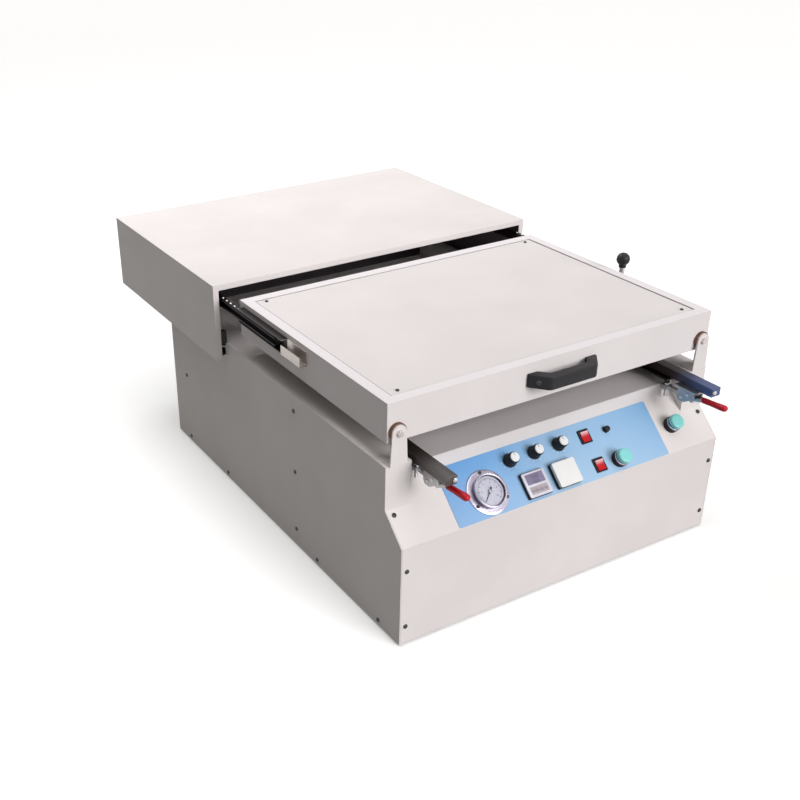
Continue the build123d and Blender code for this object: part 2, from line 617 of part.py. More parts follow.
# ==== heater stops ================================================================================
BRACKET_X = 318.0
BRACKET_Y = (44.5, 47.5)
BRACKET_FOOT_Y = 75.0
BRACKET_FOOT_W = 32.0
BRACKET_TOP_W = 26.0
BRACKET_T = 3.0
MAGNET_Z = 367.0
MAGNET_R = 15.0
MAGNET_BOLT_R = 3.0
MAGNET_NUT_R = 5.6
with BuildPart(MACHINE) as stop_brackets:
    with BuildSketch(upright(BRACKET_Y[1])):
        foot = BRACKET_FOOT_W / 2
        top = BRACKET_TOP_W / 2
        Polygon((BRACKET_X - foot, CHEEK_Z), (BRACKET_X + foot, CHEEK_Z), (BRACKET_X + top, MAGNET_Z),
                (BRACKET_X - top, MAGNET_Z), align=None)
        with Locations((BRACKET_X, MAGNET_Z)):
            Circle(top)
            Circle(MAGNET_BOLT_R + GAP, mode=Mode.SUBTRACT)
    extrude(amount=BRACKET_Y[1] - BRACKET_Y[0])
    foot_z = CHEEK_Z + BRACKET_T
    block((BRACKET_X - foot, BRACKET_X + foot), (BRACKET_Y[0], BRACKET_FOOT_Y), (CHEEK_Z, foot_z))
    for x in (BRACKET_X - foot / 2, BRACKET_X + foot / 2):
        rod_z(x, (BRACKET_Y[1] + BRACKET_FOOT_Y) / 2, (foot_z, foot_z + SCREW_HEAD_H), SCREW_HEAD_R)
    mirror(about=Plane.YZ)
finish(stop_brackets, "stop_brackets")

with BuildPart(MACHINE) as pot_magnets:
    pole_y = HEATER_Y - 0.2
    rod_y(BRACKET_X, (BRACKET_Y[1], pole_y), MAGNET_Z, MAGNET_R)
    rod_y(BRACKET_X, (pole_y - 1, pole_y), MAGNET_Z, MAGNET_R - 3, Mode.SUBTRACT)
    rod_y(BRACKET_X, BRACKET_Y, MAGNET_Z, MAGNET_BOLT_R)
    with BuildSketch(upright(BRACKET_Y[0])):
        with Locations((BRACKET_X, MAGNET_Z)):
            RegularPolygon(MAGNET_NUT_R, 6)
    extrude(amount=4)
    mirror(about=Plane.YZ)
finish(pot_magnets, "pot_magnets")

# ==== sheet clamping frames =======================================================================
TAB_X = 10.0
TAB_Y = (60.0, FRAME_Y[0])
TAB_T = 3.0
GASKET_INSET = 4.0
SIDE_BAR_IN = FRAME_X - FRAME_SIDE_BAR
ARM_IN = FRAME_X - ARM_W
with BuildPart(MACHINE) as lower_frame:
    ring_of_bars(FRAME_X, FRAME_Y, (DECK_Z, GASKET_Z), FRAME_SIDE_BAR, FRAME_CROSS_BAR)
    hollow_y = (FRAME_Y[0] + FRAME_WALL, FRAME_Y[1] - FRAME_WALL)
    hollow_z = (DECK_Z, GASKET_Z - FRAME_WALL)
    bar_x = FRAME_SIDE_BAR - 2 * FRAME_WALL
    bar_y = FRAME_CROSS_BAR - 2 * FRAME_WALL
    ring_of_bars(FRAME_X - FRAME_WALL, hollow_y, hollow_z, bar_x, bar_y, Mode.SUBTRACT)
    for side in SIDES:
        tab_x = (side * CLAMP_X - TAB_X, side * CLAMP_X + TAB_X)
        block(tab_x, TAB_Y, (GASKET_Z - TAB_T, GASKET_Z))
finish(lower_frame, "lower_frame")

with BuildPart(MACHINE) as frame_gasket:
    gasket_x = FRAME_X - GASKET_INSET
    gasket_y = (FRAME_Y[0] + GASKET_INSET, FRAME_Y[1] - GASKET_INSET)
    side_w = FRAME_SIDE_BAR - 2 * GASKET_INSET
    cross_w = FRAME_CROSS_BAR - 2 * GASKET_INSET
    ring_of_bars(gasket_x, gasket_y, (GASKET_Z, ARM_Z), side_w, cross_w)
finish(frame_gasket, "frame_gasket")

with BuildPart(MACHINE) as upper_frame:
    ring_of_bars(FRAME_X, FRAME_Y, (ARM_Z, ARM_Z + FRAME_H), FRAME_SIDE_BAR, FRAME_CROSS_BAR)
    for side in SIDES:
        arm_x = sorted((side * ARM_IN, side * FRAME_X))
        block(arm_x, (ARM_TIP_Y, FRAME_Y[0]), (ARM_Z, ARM_Z + FRAME_H))
        hollow_z = (ARM_Z, ARM_Z + FRAME_H - FRAME_WALL)
        hollow_x = sorted((side * (ARM_IN + FRAME_WALL), side * (FRAME_X - FRAME_WALL)))
        block(hollow_x, (ARM_TIP_Y + FRAME_WALL, FRAME_Y[0]), hollow_z, Mode.SUBTRACT)
        hollow_x = sorted((side * (SIDE_BAR_IN + FRAME_WALL), side * (FRAME_X - FRAME_WALL)))
        block(hollow_x, (FRAME_Y[0] + FRAME_WALL, FRAME_Y[1] - FRAME_WALL), hollow_z, Mode.SUBTRACT)
    for y in (FRAME_Y[0], FRAME_Y[1] - FRAME_CROSS_BAR):
        cross_y = (y + FRAME_WALL, y + FRAME_CROSS_BAR - FRAME_WALL)
        block((-SIDE_BAR_IN, SIDE_BAR_IN), cross_y, hollow_z, Mode.SUBTRACT)
    fillet(upper_frame.edges().filter_by(Axis.Y).group_by(Axis.Z)[-1], 0.8)
finish(upper_frame, "upper_frame")

HINGE_R = 5.0
HINGE_Y = FRAME_Y[1] + HINGE_R + 1
HINGE_X = (150.0, 230.0)
HINGE_EYE = 26.0               # length of each of the three eyes of a hinge
with BuildPart(MACHINE) as frame_hinges:
    rod_x(HINGE_X, HINGE_Y, (GASKET_Z + ARM_Z) / 2, HINGE_R)
    leaf_y = (FRAME_Y[1], HINGE_Y)
    block((HINGE_X[0], HINGE_X[0] + HINGE_EYE), leaf_y, (GASKET_Z - 10, GASKET_Z + 1))
    block((HINGE_X[1] - HINGE_EYE, HINGE_X[1]), leaf_y, (GASKET_Z - 10, GASKET_Z + 1))
    block((HINGE_X[0] + HINGE_EYE + 1, HINGE_X[1] - HINGE_EYE - 1), leaf_y, (ARM_Z - 1, ARM_Z + 12))
    mirror(about=Plane.YZ)
finish(frame_hinges, "frame_hinges")

# ==== toggle clamps ===============================================================================
EAR_X = (9.0, 12.0)
LINK_X = (6.2, 8.4)
CHEEK_PLATE_X = (3.4, 5.4)
BAR_X = 3.0
EAR_Y = (-4.0, 32.0)
EAR_Z = 276.0
BASE_PLATE_X = 15.0
STRAP_R = 3.2
LINK_R = 3.6
SPINDLE_R = 3.0
SPINDLE_Z = (263.0, 291.0)
SPINDLE_NUT_R = 5.2
NUT_UNDER_Z = 275.5
BAR_END_Z = (279.0, 286.0)
BAR_END_Y = (58.0, 74.5)
BAR_END_X = 7.0
PAD_TIP_R = 5.0
BAR_PROFILE = [                # side view of the clamp bar, depth and height
    (2.4, 277.6),
    (9, 276.8),
    (17, 278),
    (40, 278.5),
    (60, 279),
    (60, 286),
    (17, 286.4),
    (14, 284.5),
    (9.5, 282.5),
    (2.4, 281.2),
]


def pin(x, pivot, half_length, radius, mode=Mode.ADD):
    """A pin along X centred on x through a pivot given by depth and height."""
    rod_x((x - half_length, x + half_length), pivot[0], pivot[1], radius, mode)


def strap(x, start, end, radius):
    """A flat round-ended link between two pivots, x being its limits."""
    length = math.hypot(end[0] - start[0], end[1] - start[1])
    angle = math.degrees(math.atan2(end[1] - start[1], end[0] - start[0]))
    with BuildSketch(section(x[0])) as outline:
        with Locations(((start[0] + end[0]) / 2, (start[1] + end[1]) / 2)):
            SlotCenterToCenter(length, 2 * radius, rotation=angle)
    extrude(outline.sketch, amount=x[1] - x[0])


with BuildPart(MACHINE) as clamp_bases:
    for side in SIDES:
        x = side * CLAMP_X
        block((x - BASE_PLATE_X, x + BASE_PLATE_X), (EAR_Y[0] - 6, EAR_Y[1] + 6), (GASKET_Z, ARM_Z))
        for hand in SIDES:
            ear = sorted((x + hand * EAR_X[0], x + hand * EAR_X[1]))
            with BuildSketch(section(ear[0])):
                Polygon((EAR_Y[0], GASKET_Z), (EAR_Y[1], GASKET_Z), (EAR_Y[1], EAR_Z + 6), (28, EAR_Z),
                        (16, EAR_Z), (EAR_Y[0], GASKET_Z - 12), align=None)
            extrude(amount=ear[1] - ear[0])
        pin(x, BAR_PIVOT, EAR_X[1] + 1, PIN_R)
        pin(x, LINK_PIVOT, EAR_X[1] + 1, PIN_R)
finish(clamp_bases, "clamp_bases")

for side, name in ((-1, "left"), (1, "right")):
    x = side * CLAMP_X
    with BuildPart(MACHINE) as clamp_bar:
        with BuildSketch(section(x - BAR_X)):
            Polygon(*BAR_PROFILE, align=None)
        extrude(amount=2 * BAR_X)
        block((x - BAR_END_X, x + BAR_END_X), BAR_END_Y, BAR_END_Z)
        pin(x, BAR_PIVOT, BAR_X, PIN_R + RUNNING_FIT, Mode.SUBTRACT)
        pin(x, HANDLE_PIVOT, CHEEK_PLATE_X[1], SMALL_PIN_R)
        rod_z(x, SPINDLE_Y, SPINDLE_Z, SPINDLE_R)
        with BuildSketch(level(BAR_END_Z[1])):
            with Locations((x, SPINDLE_Y)):
                RegularPolygon(SPINDLE_NUT_R, 6)
        extrude(amount=3)
        with BuildSketch(level(NUT_UNDER_Z)):
            with Locations((x, SPINDLE_Y)):
                RegularPolygon(SPINDLE_NUT_R, 6)
        extrude(amount=BAR_END_Z[0] - NUT_UNDER_Z)
        rod_z(x, SPINDLE_Y, (SPINDLE_Z[1] - 1, GASKET_Z - TAB_T - 0.2), PAD_TIP_R)
    finish(clamp_bar, f"clamp_bar_{name}")

    with BuildPart(MACHINE) as clamp_handle:
        for hand in SIDES:
            plate = sorted((x + hand * CHEEK_PLATE_X[0], x + hand * CHEEK_PLATE_X[1]))
            strap(plate, HANDLE_PIVOT, LINK_END, STRAP_R)
            strap(plate, LINK_END, GRIP_START, STRAP_R)
        pin(x, HANDLE_PIVOT, CHEEK_PLATE_X[1], SMALL_PIN_R + RUNNING_FIT, Mode.SUBTRACT)
        pin(x, LINK_END, CHEEK_PLATE_X[1], SMALL_PIN_R + LINK_END_PLAY, Mode.SUBTRACT)
        run = Vector(0, GRIP_END[0] - GRIP_START[0], GRIP_END[1] - GRIP_START[1])
        start = Vector(x, FRONT_Y + GRIP_START[0] + 3, GRIP_START[1])
        with BuildSketch(Plane(origin=start, z_dir=run)):
            Circle(GRIP_R)
        extrude(amount=run.length + 3)
        with Locations((x, GRIP_END[0], GRIP_END[1])):
            Sphere(GRIP_R)
    finish(clamp_handle, f"clamp_handle_{name}")

    with BuildPart(MACHINE) as clamp_link:
        for hand in SIDES:
            plate = sorted((x + hand * LINK_X[0], x + hand * LINK_X[1]))
            strap(plate, LINK_PIVOT, LINK_END, LINK_R)
        pin(x, LINK_PIVOT, LINK_X[1], PIN_R + RUNNING_FIT, Mode.SUBTRACT)
        pin(x, LINK_END, LINK_X[1], SMALL_PIN_R)
    finish(clamp_link, f"clamp_link_{name}")

# ==== control face ================================================================================
with BuildPart() as control_overlay:
    centre = ((OVERLAY_X[0] + OVERLAY_X[1]) / 2, (OVERLAY_S[0] + OVERLAY_S[1]) / 2)
    tile(centre, OVERLAY_X[1] - OVERLAY_X[0], OVERLAY_S[1] - OVERLAY_S[0], -OVERLAY_T, 0, corner=3)
    cut_face_openings()
finish(control_overlay, "control_overlay")

DIAL_H = 7.0
DIAL_R = 26.0
LENS_T = 1.2
FLANGE_T = 2.0
CASE_BACK = -34.0
PORT_R = 6.0
PORT_BACK = -46.0
NEEDLE_PIN_R = 1.5
NEEDLE_TIP = 22.0
NEEDLE_TAIL = 7.0
NEEDLE_HALF_W = 1.3
NEEDLE_T = 0.8
NEEDLE_HUB_R = 3.0
NEEDLE_REST = math.radians(225)
with BuildPart() as gauge_case:
    boss(GAUGE_AT, GAUGE_FLANGE_R, 0, FLANGE_T)
    boss(GAUGE_AT, GAUGE_CASE_R, CASE_BACK, GAUGE_H)
    boss(GAUGE_AT, GAUGE_CASE_R + 1, GAUGE_H - 4, GAUGE_H + 1)
    fillet(gauge_case.edges().filter_by(GeomType.CIRCLE).group_by(SortBy.RADIUS)[-1], 0.6)
    boss(GAUGE_AT, DIAL_R, DIAL_H, GAUGE_H + 1, Mode.SUBTRACT)
    boss(GAUGE_AT, PORT_R, PORT_BACK, CASE_BACK)
    boss(GAUGE_AT, NEEDLE_PIN_R, DIAL_H, DIAL_H + 2.5)
    for at in gauge_screws():
        boss(at, SCREW_R + GAP, 0, FLANGE_T, Mode.SUBTRACT)
finish(gauge_case, "gauge_case")

with BuildPart() as gauge_lens:
    boss(GAUGE_AT, DIAL_R, GAUGE_H - LENS_T - GAP, GAUGE_H - GAP)
finish(gauge_lens, "gauge_lens")

with BuildPart() as gauge_needle:
    with BuildSketch(on_face(GAUGE_AT, DIAL_H + 0.6)):
        Circle(NEEDLE_HUB_R)
        along = Vector(math.cos(NEEDLE_REST), math.sin(NEEDLE_REST))
        across = Vector(math.sin(NEEDLE_REST), -math.cos(NEEDLE_REST)) * NEEDLE_HALF_W
        tail = along * -NEEDLE_TAIL
        Polygon(along * NEEDLE_TIP, tail + across, tail - across, align=None)
        Circle(NEEDLE_PIN_R + RUNNING_FIT, mode=Mode.SUBTRACT)
    extrude(amount=NEEDLE_T)
finish(gauge_needle, "gauge_needle")

BODY_INSET = 3.0               # an instrument's body is this much smaller than its bezel
CONTROLLER_H = 8.0
CONTROLLER_BACK = -60.0
COUNTER_H = 14.0
COUNTER_BACK = -40.0
WINDOW = (38.0, 16.0)
KEY = (7.0, 5.0)
KEY_PITCH = 10.0
with BuildPart() as temperature_controller:
    tile(CONTROLLER_AT, INSTRUMENT_W, INSTRUMENT_L, 0, CONTROLLER_H, corner=2)
    fillet(temperature_controller.faces().sort_by(Axis(PANEL.origin, PANEL.z_dir))[-1].edges(), 1.2)
    window_at = (CONTROLLER_AT[0], CONTROLLER_AT[1] + 8)
    tile(window_at, *WINDOW, CONTROLLER_H - 1, CONTROLLER_H, Mode.SUBTRACT)
    for k in range(4):
        key_at = (CONTROLLER_AT[0] + KEY_PITCH * (k - 1.5), CONTROLLER_AT[1] - 14)
        tile(key_at, *KEY, CONTROLLER_H, CONTROLLER_H + 0.7)
    tile(CONTROLLER_AT, INSTRUMENT_W - BODY_INSET, INSTRUMENT_L - BODY_INSET, CONTROLLER_BACK, 0)
finish(temperature_controller, "temperature_controller")

with BuildPart() as cycle_counter:
    tile(COUNTER_AT, INSTRUMENT_W, INSTRUMENT_L, 0, COUNTER_H, corner=3)
    fillet(cycle_counter.faces().sort_by(Axis(PANEL.origin, PANEL.z_dir))[-1].edges(), 2.5)
    tile(COUNTER_AT, INSTRUMENT_W - BODY_INSET, INSTRUMENT_L - BODY_INSET, COUNTER_BACK, 0)
finish(cycle_counter, "cycle_counter")

with BuildPart() as potentiometers:
    for at in KNOBS_AT:
        boss(at, POT_BODY_R, POT_BACK, -OVERLAY_T - SHEET)
        boss(at, POT_BUSH_R, -OVERLAY_T - SHEET, POT_BUSH_H)
        boss(at, POT_NUT_R, 0, 2)
        boss(at, POT_SHAFT_R + RUNNING_FIT, POT_BACK + 2, POT_BUSH_H, Mode.SUBTRACT)
finish(potentiometers, "potentiometers")

KNOB_SKIRT_R = 12.0
KNOB_TOP_R = 9.0
KNOB_LIFT = 0.8                # gap between the skirt and the face
SKIRT_H = 5.0
FLUTE_R = 0.8
FLUTES = 18
KNOB_BORE_R = 7.2
for k, at in enumerate(KNOBS_AT):
    with BuildPart() as knob:
        boss(at, KNOB_SKIRT_R, KNOB_LIFT, SKIRT_H)
        with BuildSketch(on_face(at, SKIRT_H)):
            Circle(KNOB_TOP_R + 1)
            with PolarLocations(KNOB_TOP_R + 1, FLUTES):
                Circle(FLUTE_R, mode=Mode.SUBTRACT)
        extrude(amount=KNOB_H - 1 - SKIRT_H, taper=3)
        boss(at, KNOB_TOP_R - FLUTE_R, KNOB_H - 1, KNOB_H)
        boss(at, KNOB_BORE_R, KNOB_LIFT, SKIRT_H + 1, Mode.SUBTRACT)
        boss(at, POT_SHAFT_R, POT_BACK + 4, SKIRT_H + 3)
        tile((at[0], at[1] + 5), 1.4, 6, KNOB_H, KNOB_H + 0.4)
    finish(knob, f"knob_{k + 1}")

ROCKER_PIVOT_H = -3.0
ROCKER_PIN_R = 1.5
ROCKER_PIN_X = 9.5             # half length of the rocker's pin


def rocker_pin(at, half_length, radius, mode=Mode.ADD):
    """The pivot pin of a rocker switch, along X under the middle of the rocker."""
    middle = on_face(at, ROCKER_PIVOT_H)
    with BuildSketch(Plane(origin=middle.origin, x_dir=PANEL.y_dir, z_dir=PANEL.x_dir)) as outline:
        Circle(radius)
    extrude(outline.sketch, amount=half_length, both=True, mode=mode)


with BuildPart() as electrical_housings:
    for at in ROCKERS_AT:
        tile(at, ROCKER_W, ROCKER_L, 0, 2, corner=1)
        tile(at, ROCKER_W - 2, ROCKER_L - 2, -22, 0)
        tile(at, ROCKER_W - 6, ROCKER_L - 4, -12, 2, Mode.SUBTRACT)
        rocker_pin(at, ROCKER_PIN_X + GAP, ROCKER_PIN_R + RUNNING_FIT, Mode.SUBTRACT)
    with Locations(MACHINE):
        inlet_x = (INLET_AT[0] - INLET_W / 2, INLET_AT[0] + INLET_W / 2)
        inlet_z = (INLET_AT[1] - INLET_H / 2, INLET_AT[1] + INLET_H / 2)
        flange_x = (inlet_x[0] - 8, inlet_x[1] + 8)
        block(flange_x, (CABINET_D, CABINET_D + 2.5), (inlet_z[0] - 2, inlet_z[1] + 2))
        block(inlet_x, (CABINET_D - 26, CABINET_D), inlet_z)
        socket_x = (inlet_x[0] + 2, inlet_x[1] - 2)
        socket_z = (inlet_z[0] + 2, inlet_z[1] - 2)
        block(socket_x, (CABINET_D - 20, CABINET_D + 2.5), socket_z, Mode.SUBTRACT)
        for x in (-7, 0, 7):
            block((INLET_AT[0] + x - 1, INLET_AT[0] + x + 1), (CABINET_D - 20, CABINET_D - 3),
                  (INLET_AT[1] - 2.5, INLET_AT[1] + 2.5))
finish(electrical_housings, "electrical_housings")

for k, at in enumerate(ROCKERS_AT):
    half = ROCKER_L / 2 - 3.3
    with BuildPart() as rocker:
        pivot = on_face((at[0] - (ROCKER_W - 7) / 2, at[1]), ROCKER_PIVOT_H)
        with BuildSketch(Plane(origin=pivot.origin, x_dir=PANEL.y_dir, z_dir=PANEL.x_dir)):
            Polygon((-half, 4), (-half, 7.5), (0, 6), (half, 7.5), (half, 4), (3, -4), (-3, -4),
                    rotation=ROCKER_TILT, align=None)
        extrude(amount=ROCKER_W - 7)
        rocker_pin(at, ROCKER_PIN_X, ROCKER_PIN_R)
    finish(rocker, f"rocker_{k + 1}")

with BuildPart() as button_housings:
    for at in GREEN_BUTTONS_AT:
        seat = 0 if at[0] < OVERLAY_X[1] else -OVERLAY_T
        boss(at, BUTTON_COLLAR_R, seat, BUTTON_COLLAR_H)
        boss(at, BUTTON_COLLAR_R - 0.5, BUTTON_COLLAR_H, BUTTON_COLLAR_H + BUTTON_RING_H)
        boss(at, BUTTON_BARREL_R, -14, seat)
        tile(at, 24, 24, -40, -14)
        boss(at, BUTTON_STEM_R + GAP, -10, BUTTON_COLLAR_H + BUTTON_RING_H, Mode.SUBTRACT)
    boss(RESET_BUTTON_AT, 6.5, 0, RESET_COLLAR_H)
    boss(RESET_BUTTON_AT, RESET_BARREL_R, -20, 0)
    boss(RESET_BUTTON_AT, RESET_STEM_R + GAP, -12, RESET_COLLAR_H, Mode.SUBTRACT)
finish(button_housings, "button_housings")

BUTTON_NAMES = ("start_button", "side_button")
for name, at in zip(BUTTON_NAMES, GREEN_BUTTONS_AT):
    cap_low = BUTTON_COLLAR_H + BUTTON_RING_H + BUTTON_TRAVEL
    with BuildPart() as button:
        boss(at, BUTTON_CAP_R, cap_low, cap_low + BUTTON_CAP_H)
        fillet(button.faces().sort_by(Axis(PANEL.origin, PANEL.z_dir))[-1].edges(), 2)
        boss(at, BUTTON_STEM_R, -6, cap_low)
    finish(button, name)

with BuildPart() as reset_button:
    cap_low = RESET_COLLAR_H + RESET_TRAVEL + 0.2
    boss(RESET_BUTTON_AT, RESET_CAP_R, cap_low, cap_low + 4)
    fillet(reset_button.faces().sort_by(Axis(PANEL.origin, PANEL.z_dir))[-1].edges(), 0.8)
    boss(RESET_BUTTON_AT, RESET_STEM_R, -8, cap_low)
finish(reset_button, "reset_button")

# ==== platen lift =================================================================================
BUSH_Z = (168.0, 202.0)
BUSH_R = 13.0
BUSH_ARM = (24.0, 10.0)        # width and height of the arm that carries each bush
PLENUM_WALL = 2.0
AIR_HOLE_R = 2.0
STEM_R = 12.0
STEM_Z = 56.0
with BuildPart(MACHINE) as platen:
    block((-PLATEN_X, PLATEN_X), PLATEN_Y, (PLATEN_Z - PLATEN_T, PLATEN_Z))
    fillet(platen.edges().filter_by(Axis.Z), 6)
    with BuildSketch(level(PLATEN_Z - PLATEN_T)):
        with Locations((0, (PLATEN_Y[0] + PLATEN_Y[1]) / 2)):
            columns = int(2 * PLENUM_X / AIR_HOLE_PITCH)
            rows = int((PLENUM_Y[1] - PLENUM_Y[0]) / AIR_HOLE_PITCH)
            with GridLocations(AIR_HOLE_PITCH, AIR_HOLE_PITCH, columns, rows):
                Circle(AIR_HOLE_R)
    extrude(amount=PLATEN_T, mode=Mode.SUBTRACT)
finish(platen, "platen")

with BuildPart(MACHINE) as plenum_box:
    block((-PLENUM_X, PLENUM_X), PLENUM_Y, PLENUM_Z)
    plenum_in = PLENUM_X - PLENUM_WALL
    plenum_floor = PLENUM_Z[0] + PLENUM_WALL
    inside_y = (PLENUM_Y[0] + PLENUM_WALL, PLENUM_Y[1] - PLENUM_WALL)
    block((-plenum_in, plenum_in), inside_y, (plenum_floor, PLENUM_Z[1]), Mode.SUBTRACT)
    for side in SIDES:
        for y in POST_Y:
            arm_y = (y - BUSH_ARM[0] / 2, y + BUSH_ARM[0] / 2)
            block(sorted((side * PLENUM_X, side * POST_X)), arm_y, (BUSH_Z[1] - BUSH_ARM[1], BUSH_Z[1]))
            rod_z(side * POST_X, y, BUSH_Z, BUSH_R)
            rod_z(side * POST_X, y, BUSH_Z, POST_R + RUNNING_FIT, Mode.SUBTRACT)
    rod_z(0, RISER_Y, (STEM_Z, plenum_floor), STEM_R)
    rod_z(0, RISER_Y, (STEM_Z, plenum_floor), STEM_R - PLENUM_WALL, Mode.SUBTRACT)
finish(plenum_box, "plenum_box")

RACK_Z = (45.0, PLENUM_Z[0])
RACK_BACK = 12.0
ROOT_DEPTH = 1.25 * GEAR_MODULE
with BuildPart(MACHINE) as lift_racks:
    tooth_half = (RACK_PITCH / 2 - BACKLASH) / 2
    tip_half = tooth_half - GEAR_MODULE * math.tan(PRESSURE_ANGLE)
    root_half = tooth_half + ROOT_DEPTH * math.tan(PRESSURE_ANGLE)
    with BuildSketch(section(GEAR_X - GEAR_WIDTH / 2)):
        with Locations((RACK_Y + ROOT_DEPTH + RACK_BACK / 2, (RACK_Z[0] + RACK_Z[1]) / 2)):
            Rectangle(RACK_BACK, RACK_Z[1] - RACK_Z[0])
        for k in range(-6, 5):
            z = SHAFT_Z + k * RACK_PITCH
            Polygon((RACK_Y + ROOT_DEPTH, z - root_half), (RACK_Y - GEAR_MODULE, z - tip_half),
                    (RACK_Y - GEAR_MODULE, z + tip_half), (RACK_Y + ROOT_DEPTH, z + root_half), align=None)
    extrude(amount=GEAR_WIDTH)
    foot_x = (GEAR_X - GEAR_WIDTH / 2, GEAR_X + GEAR_WIDTH / 2)
    block(foot_x, (RACK_Y + ROOT_DEPTH, RACK_Y + 40), (RACK_Z[1] - 4, RACK_Z[1]))
    mirror(about=Plane.YZ)
finish(lift_racks, "lift_racks")


def involute(angle):
    """The involute function."""
    return math.tan(angle) - angle


def gear_outline():
    """Points round a spur gear whose tooth space is centred on the first axis."""
    base_r = PITCH_R * math.cos(PRESSURE_ANGLE)
    tip_r = PITCH_R + GEAR_MODULE
    root_r = PITCH_R - ROOT_DEPTH
    points = []
    for tooth in range(GEAR_TEETH):
        centre = 2 * math.pi * (tooth + 0.5) / GEAR_TEETH
        flank = []
        for step in range(6):
            r = base_r + (tip_r - base_r) * step / 5
            half = math.pi / (2 * GEAR_TEETH) + involute(PRESSURE_ANGLE) - involute(math.acos(base_r / r))
            flank.append((r, half))
        flank.insert(0, (root_r, flank[0][1]))
        rising = [(r, centre - half) for r, half in flank]
        falling = [(r, centre + half) for r, half in reversed(flank)]
        points += [(r * math.cos(a), r * math.sin(a)) for r, a in rising + falling]
    return points


HUB_R = 15.0
HUB_X = (343.0, 361.0)
SHAFT_X = (-330.0, 359.0)
COLLAR_R = 16.0
COLLAR_W = 12.0
BEARING_FLANGE_R = 20.0
BEARING_FLANGE_T = 5.0
BEARING_IN_X = (-312.0, 330.0)
with BuildPart(MACHINE) as lever_shaft:
    rod_x(SHAFT_X, SHAFT_Y, SHAFT_Z, SHAFT_R)
    for side in SIDES:
        with BuildSketch(section(side * GEAR_X - GEAR_WIDTH / 2)):
            with Locations((SHAFT_Y, SHAFT_Z)):
                Polygon(*gear_outline(), align=None)
        extrude(amount=GEAR_WIDTH)
        gear_face = GEAR_X + GEAR_WIDTH / 2
        rod_x(sorted((side * gear_face, side * (gear_face + COLLAR_W))), SHAFT_Y, SHAFT_Z, COLLAR_R)
finish(lever_shaft, "lever_shaft")

with BuildPart(MACHINE) as lever_rod:
    rod_x(HUB_X, SHAFT_Y, SHAFT_Z, HUB_R)
    fillet(lever_rod.edges().filter_by(GeomType.CIRCLE), 1)
    rod_z(LEVER_X, SHAFT_Y, (SHAFT_Z + HUB_R - 4, BALL_KNOB_Z - 4), LEVER_R)
    rod_x((HUB_X[0] - 1, SHAFT_X[1]), SHAFT_Y, SHAFT_Z, SHAFT_R, Mode.SUBTRACT)
finish(lever_rod, "lever_rod")

with BuildPart(MACHINE) as ball_knob:
    with Locations((LEVER_X, SHAFT_Y, BALL_KNOB_Z)):
        Sphere(BALL_KNOB_R)
    rod_z(LEVER_X, SHAFT_Y, (BALL_KNOB_Z - BALL_KNOB_R - 3, BALL_KNOB_Z - 8), 7)
    rod_z(LEVER_X, SHAFT_Y, (BALL_KNOB_Z - BALL_KNOB_R - 4, BALL_KNOB_Z - 4), LEVER_R, Mode.SUBTRACT)
finish(ball_knob, "ball_knob")

with BuildPart(MACHINE) as shaft_bearings:
    right_x = (BEARING_IN_X[1], HALF_W + SHEET)
    rod_x(right_x, SHAFT_Y, SHAFT_Z, BEARING_R)
    rod_x((WALL_X - BEARING_FLANGE_T, WALL_X), SHAFT_Y, SHAFT_Z, BEARING_FLANGE_R)
    rod_x(right_x, SHAFT_Y, SHAFT_Z, SHAFT_R + RUNNING_FIT, Mode.SUBTRACT)
    rod_x((-WALL_X, BEARING_FLANGE_T - WALL_X), SHAFT_Y, SHAFT_Z, BEARING_FLANGE_R)
    rod_x((-WALL_X, BEARING_IN_X[0]), SHAFT_Y, SHAFT_Z, BEARING_R)
    rod_x((SHAFT_X[0] - 1, BEARING_IN_X[0]), SHAFT_Y, SHAFT_Z, SHAFT_R + RUNNING_FIT, Mode.SUBTRACT)
finish(shaft_bearings, "shaft_bearings")

PAN_TOP = FLOOR_GAP + SHEET
POST_FOOT_R = 18.0
with BuildPart(MACHINE) as guide_posts:
    for side in SIDES:
        for y in POST_Y:
            rod_z(side * POST_X, y, (PAN_TOP, DECK_Z - SHEET), POST_R)
            rod_z(side * POST_X, y, (PAN_TOP, PAN_TOP + 6), POST_FOOT_R)
finish(guide_posts, "guide_posts")

# ==== vacuum system ===============================================================================
PUMP_AT = (-150.0, 680.0, 95.0)
PUMP_R = 52.0
TANK_AT = (170.0, 680.0, 110.0)
TANK_R = 75.0
TANK_L = 280.0
PIPE_R = 8.0
with BuildPart(MACHINE) as vacuum_pump:
    px, py, pz = PUMP_AT
    rod_x((px - 70, px + 70), py, pz, PUMP_R)
    for k in range(9):
        rod_x((px - 58 + 14 * k, px - 54 + 14 * k), py, pz, PUMP_R + 5)
    for end in SIDES:
        head = sorted((px + end * 70, px + end * 118))
        block(head, (py - 40, py + 40), (pz - 55, pz + 55))
        block(sorted((px + end * 82, px + end * 112)), (py - 28, py + 28), (pz + 55, pz + 72))
    for y in (py - 34, py + 34):
        block((px - 60, px + 60), (y - 7, y + 7), (PAN_TOP, pz - 40))
finish(vacuum_pump, "vacuum_pump")

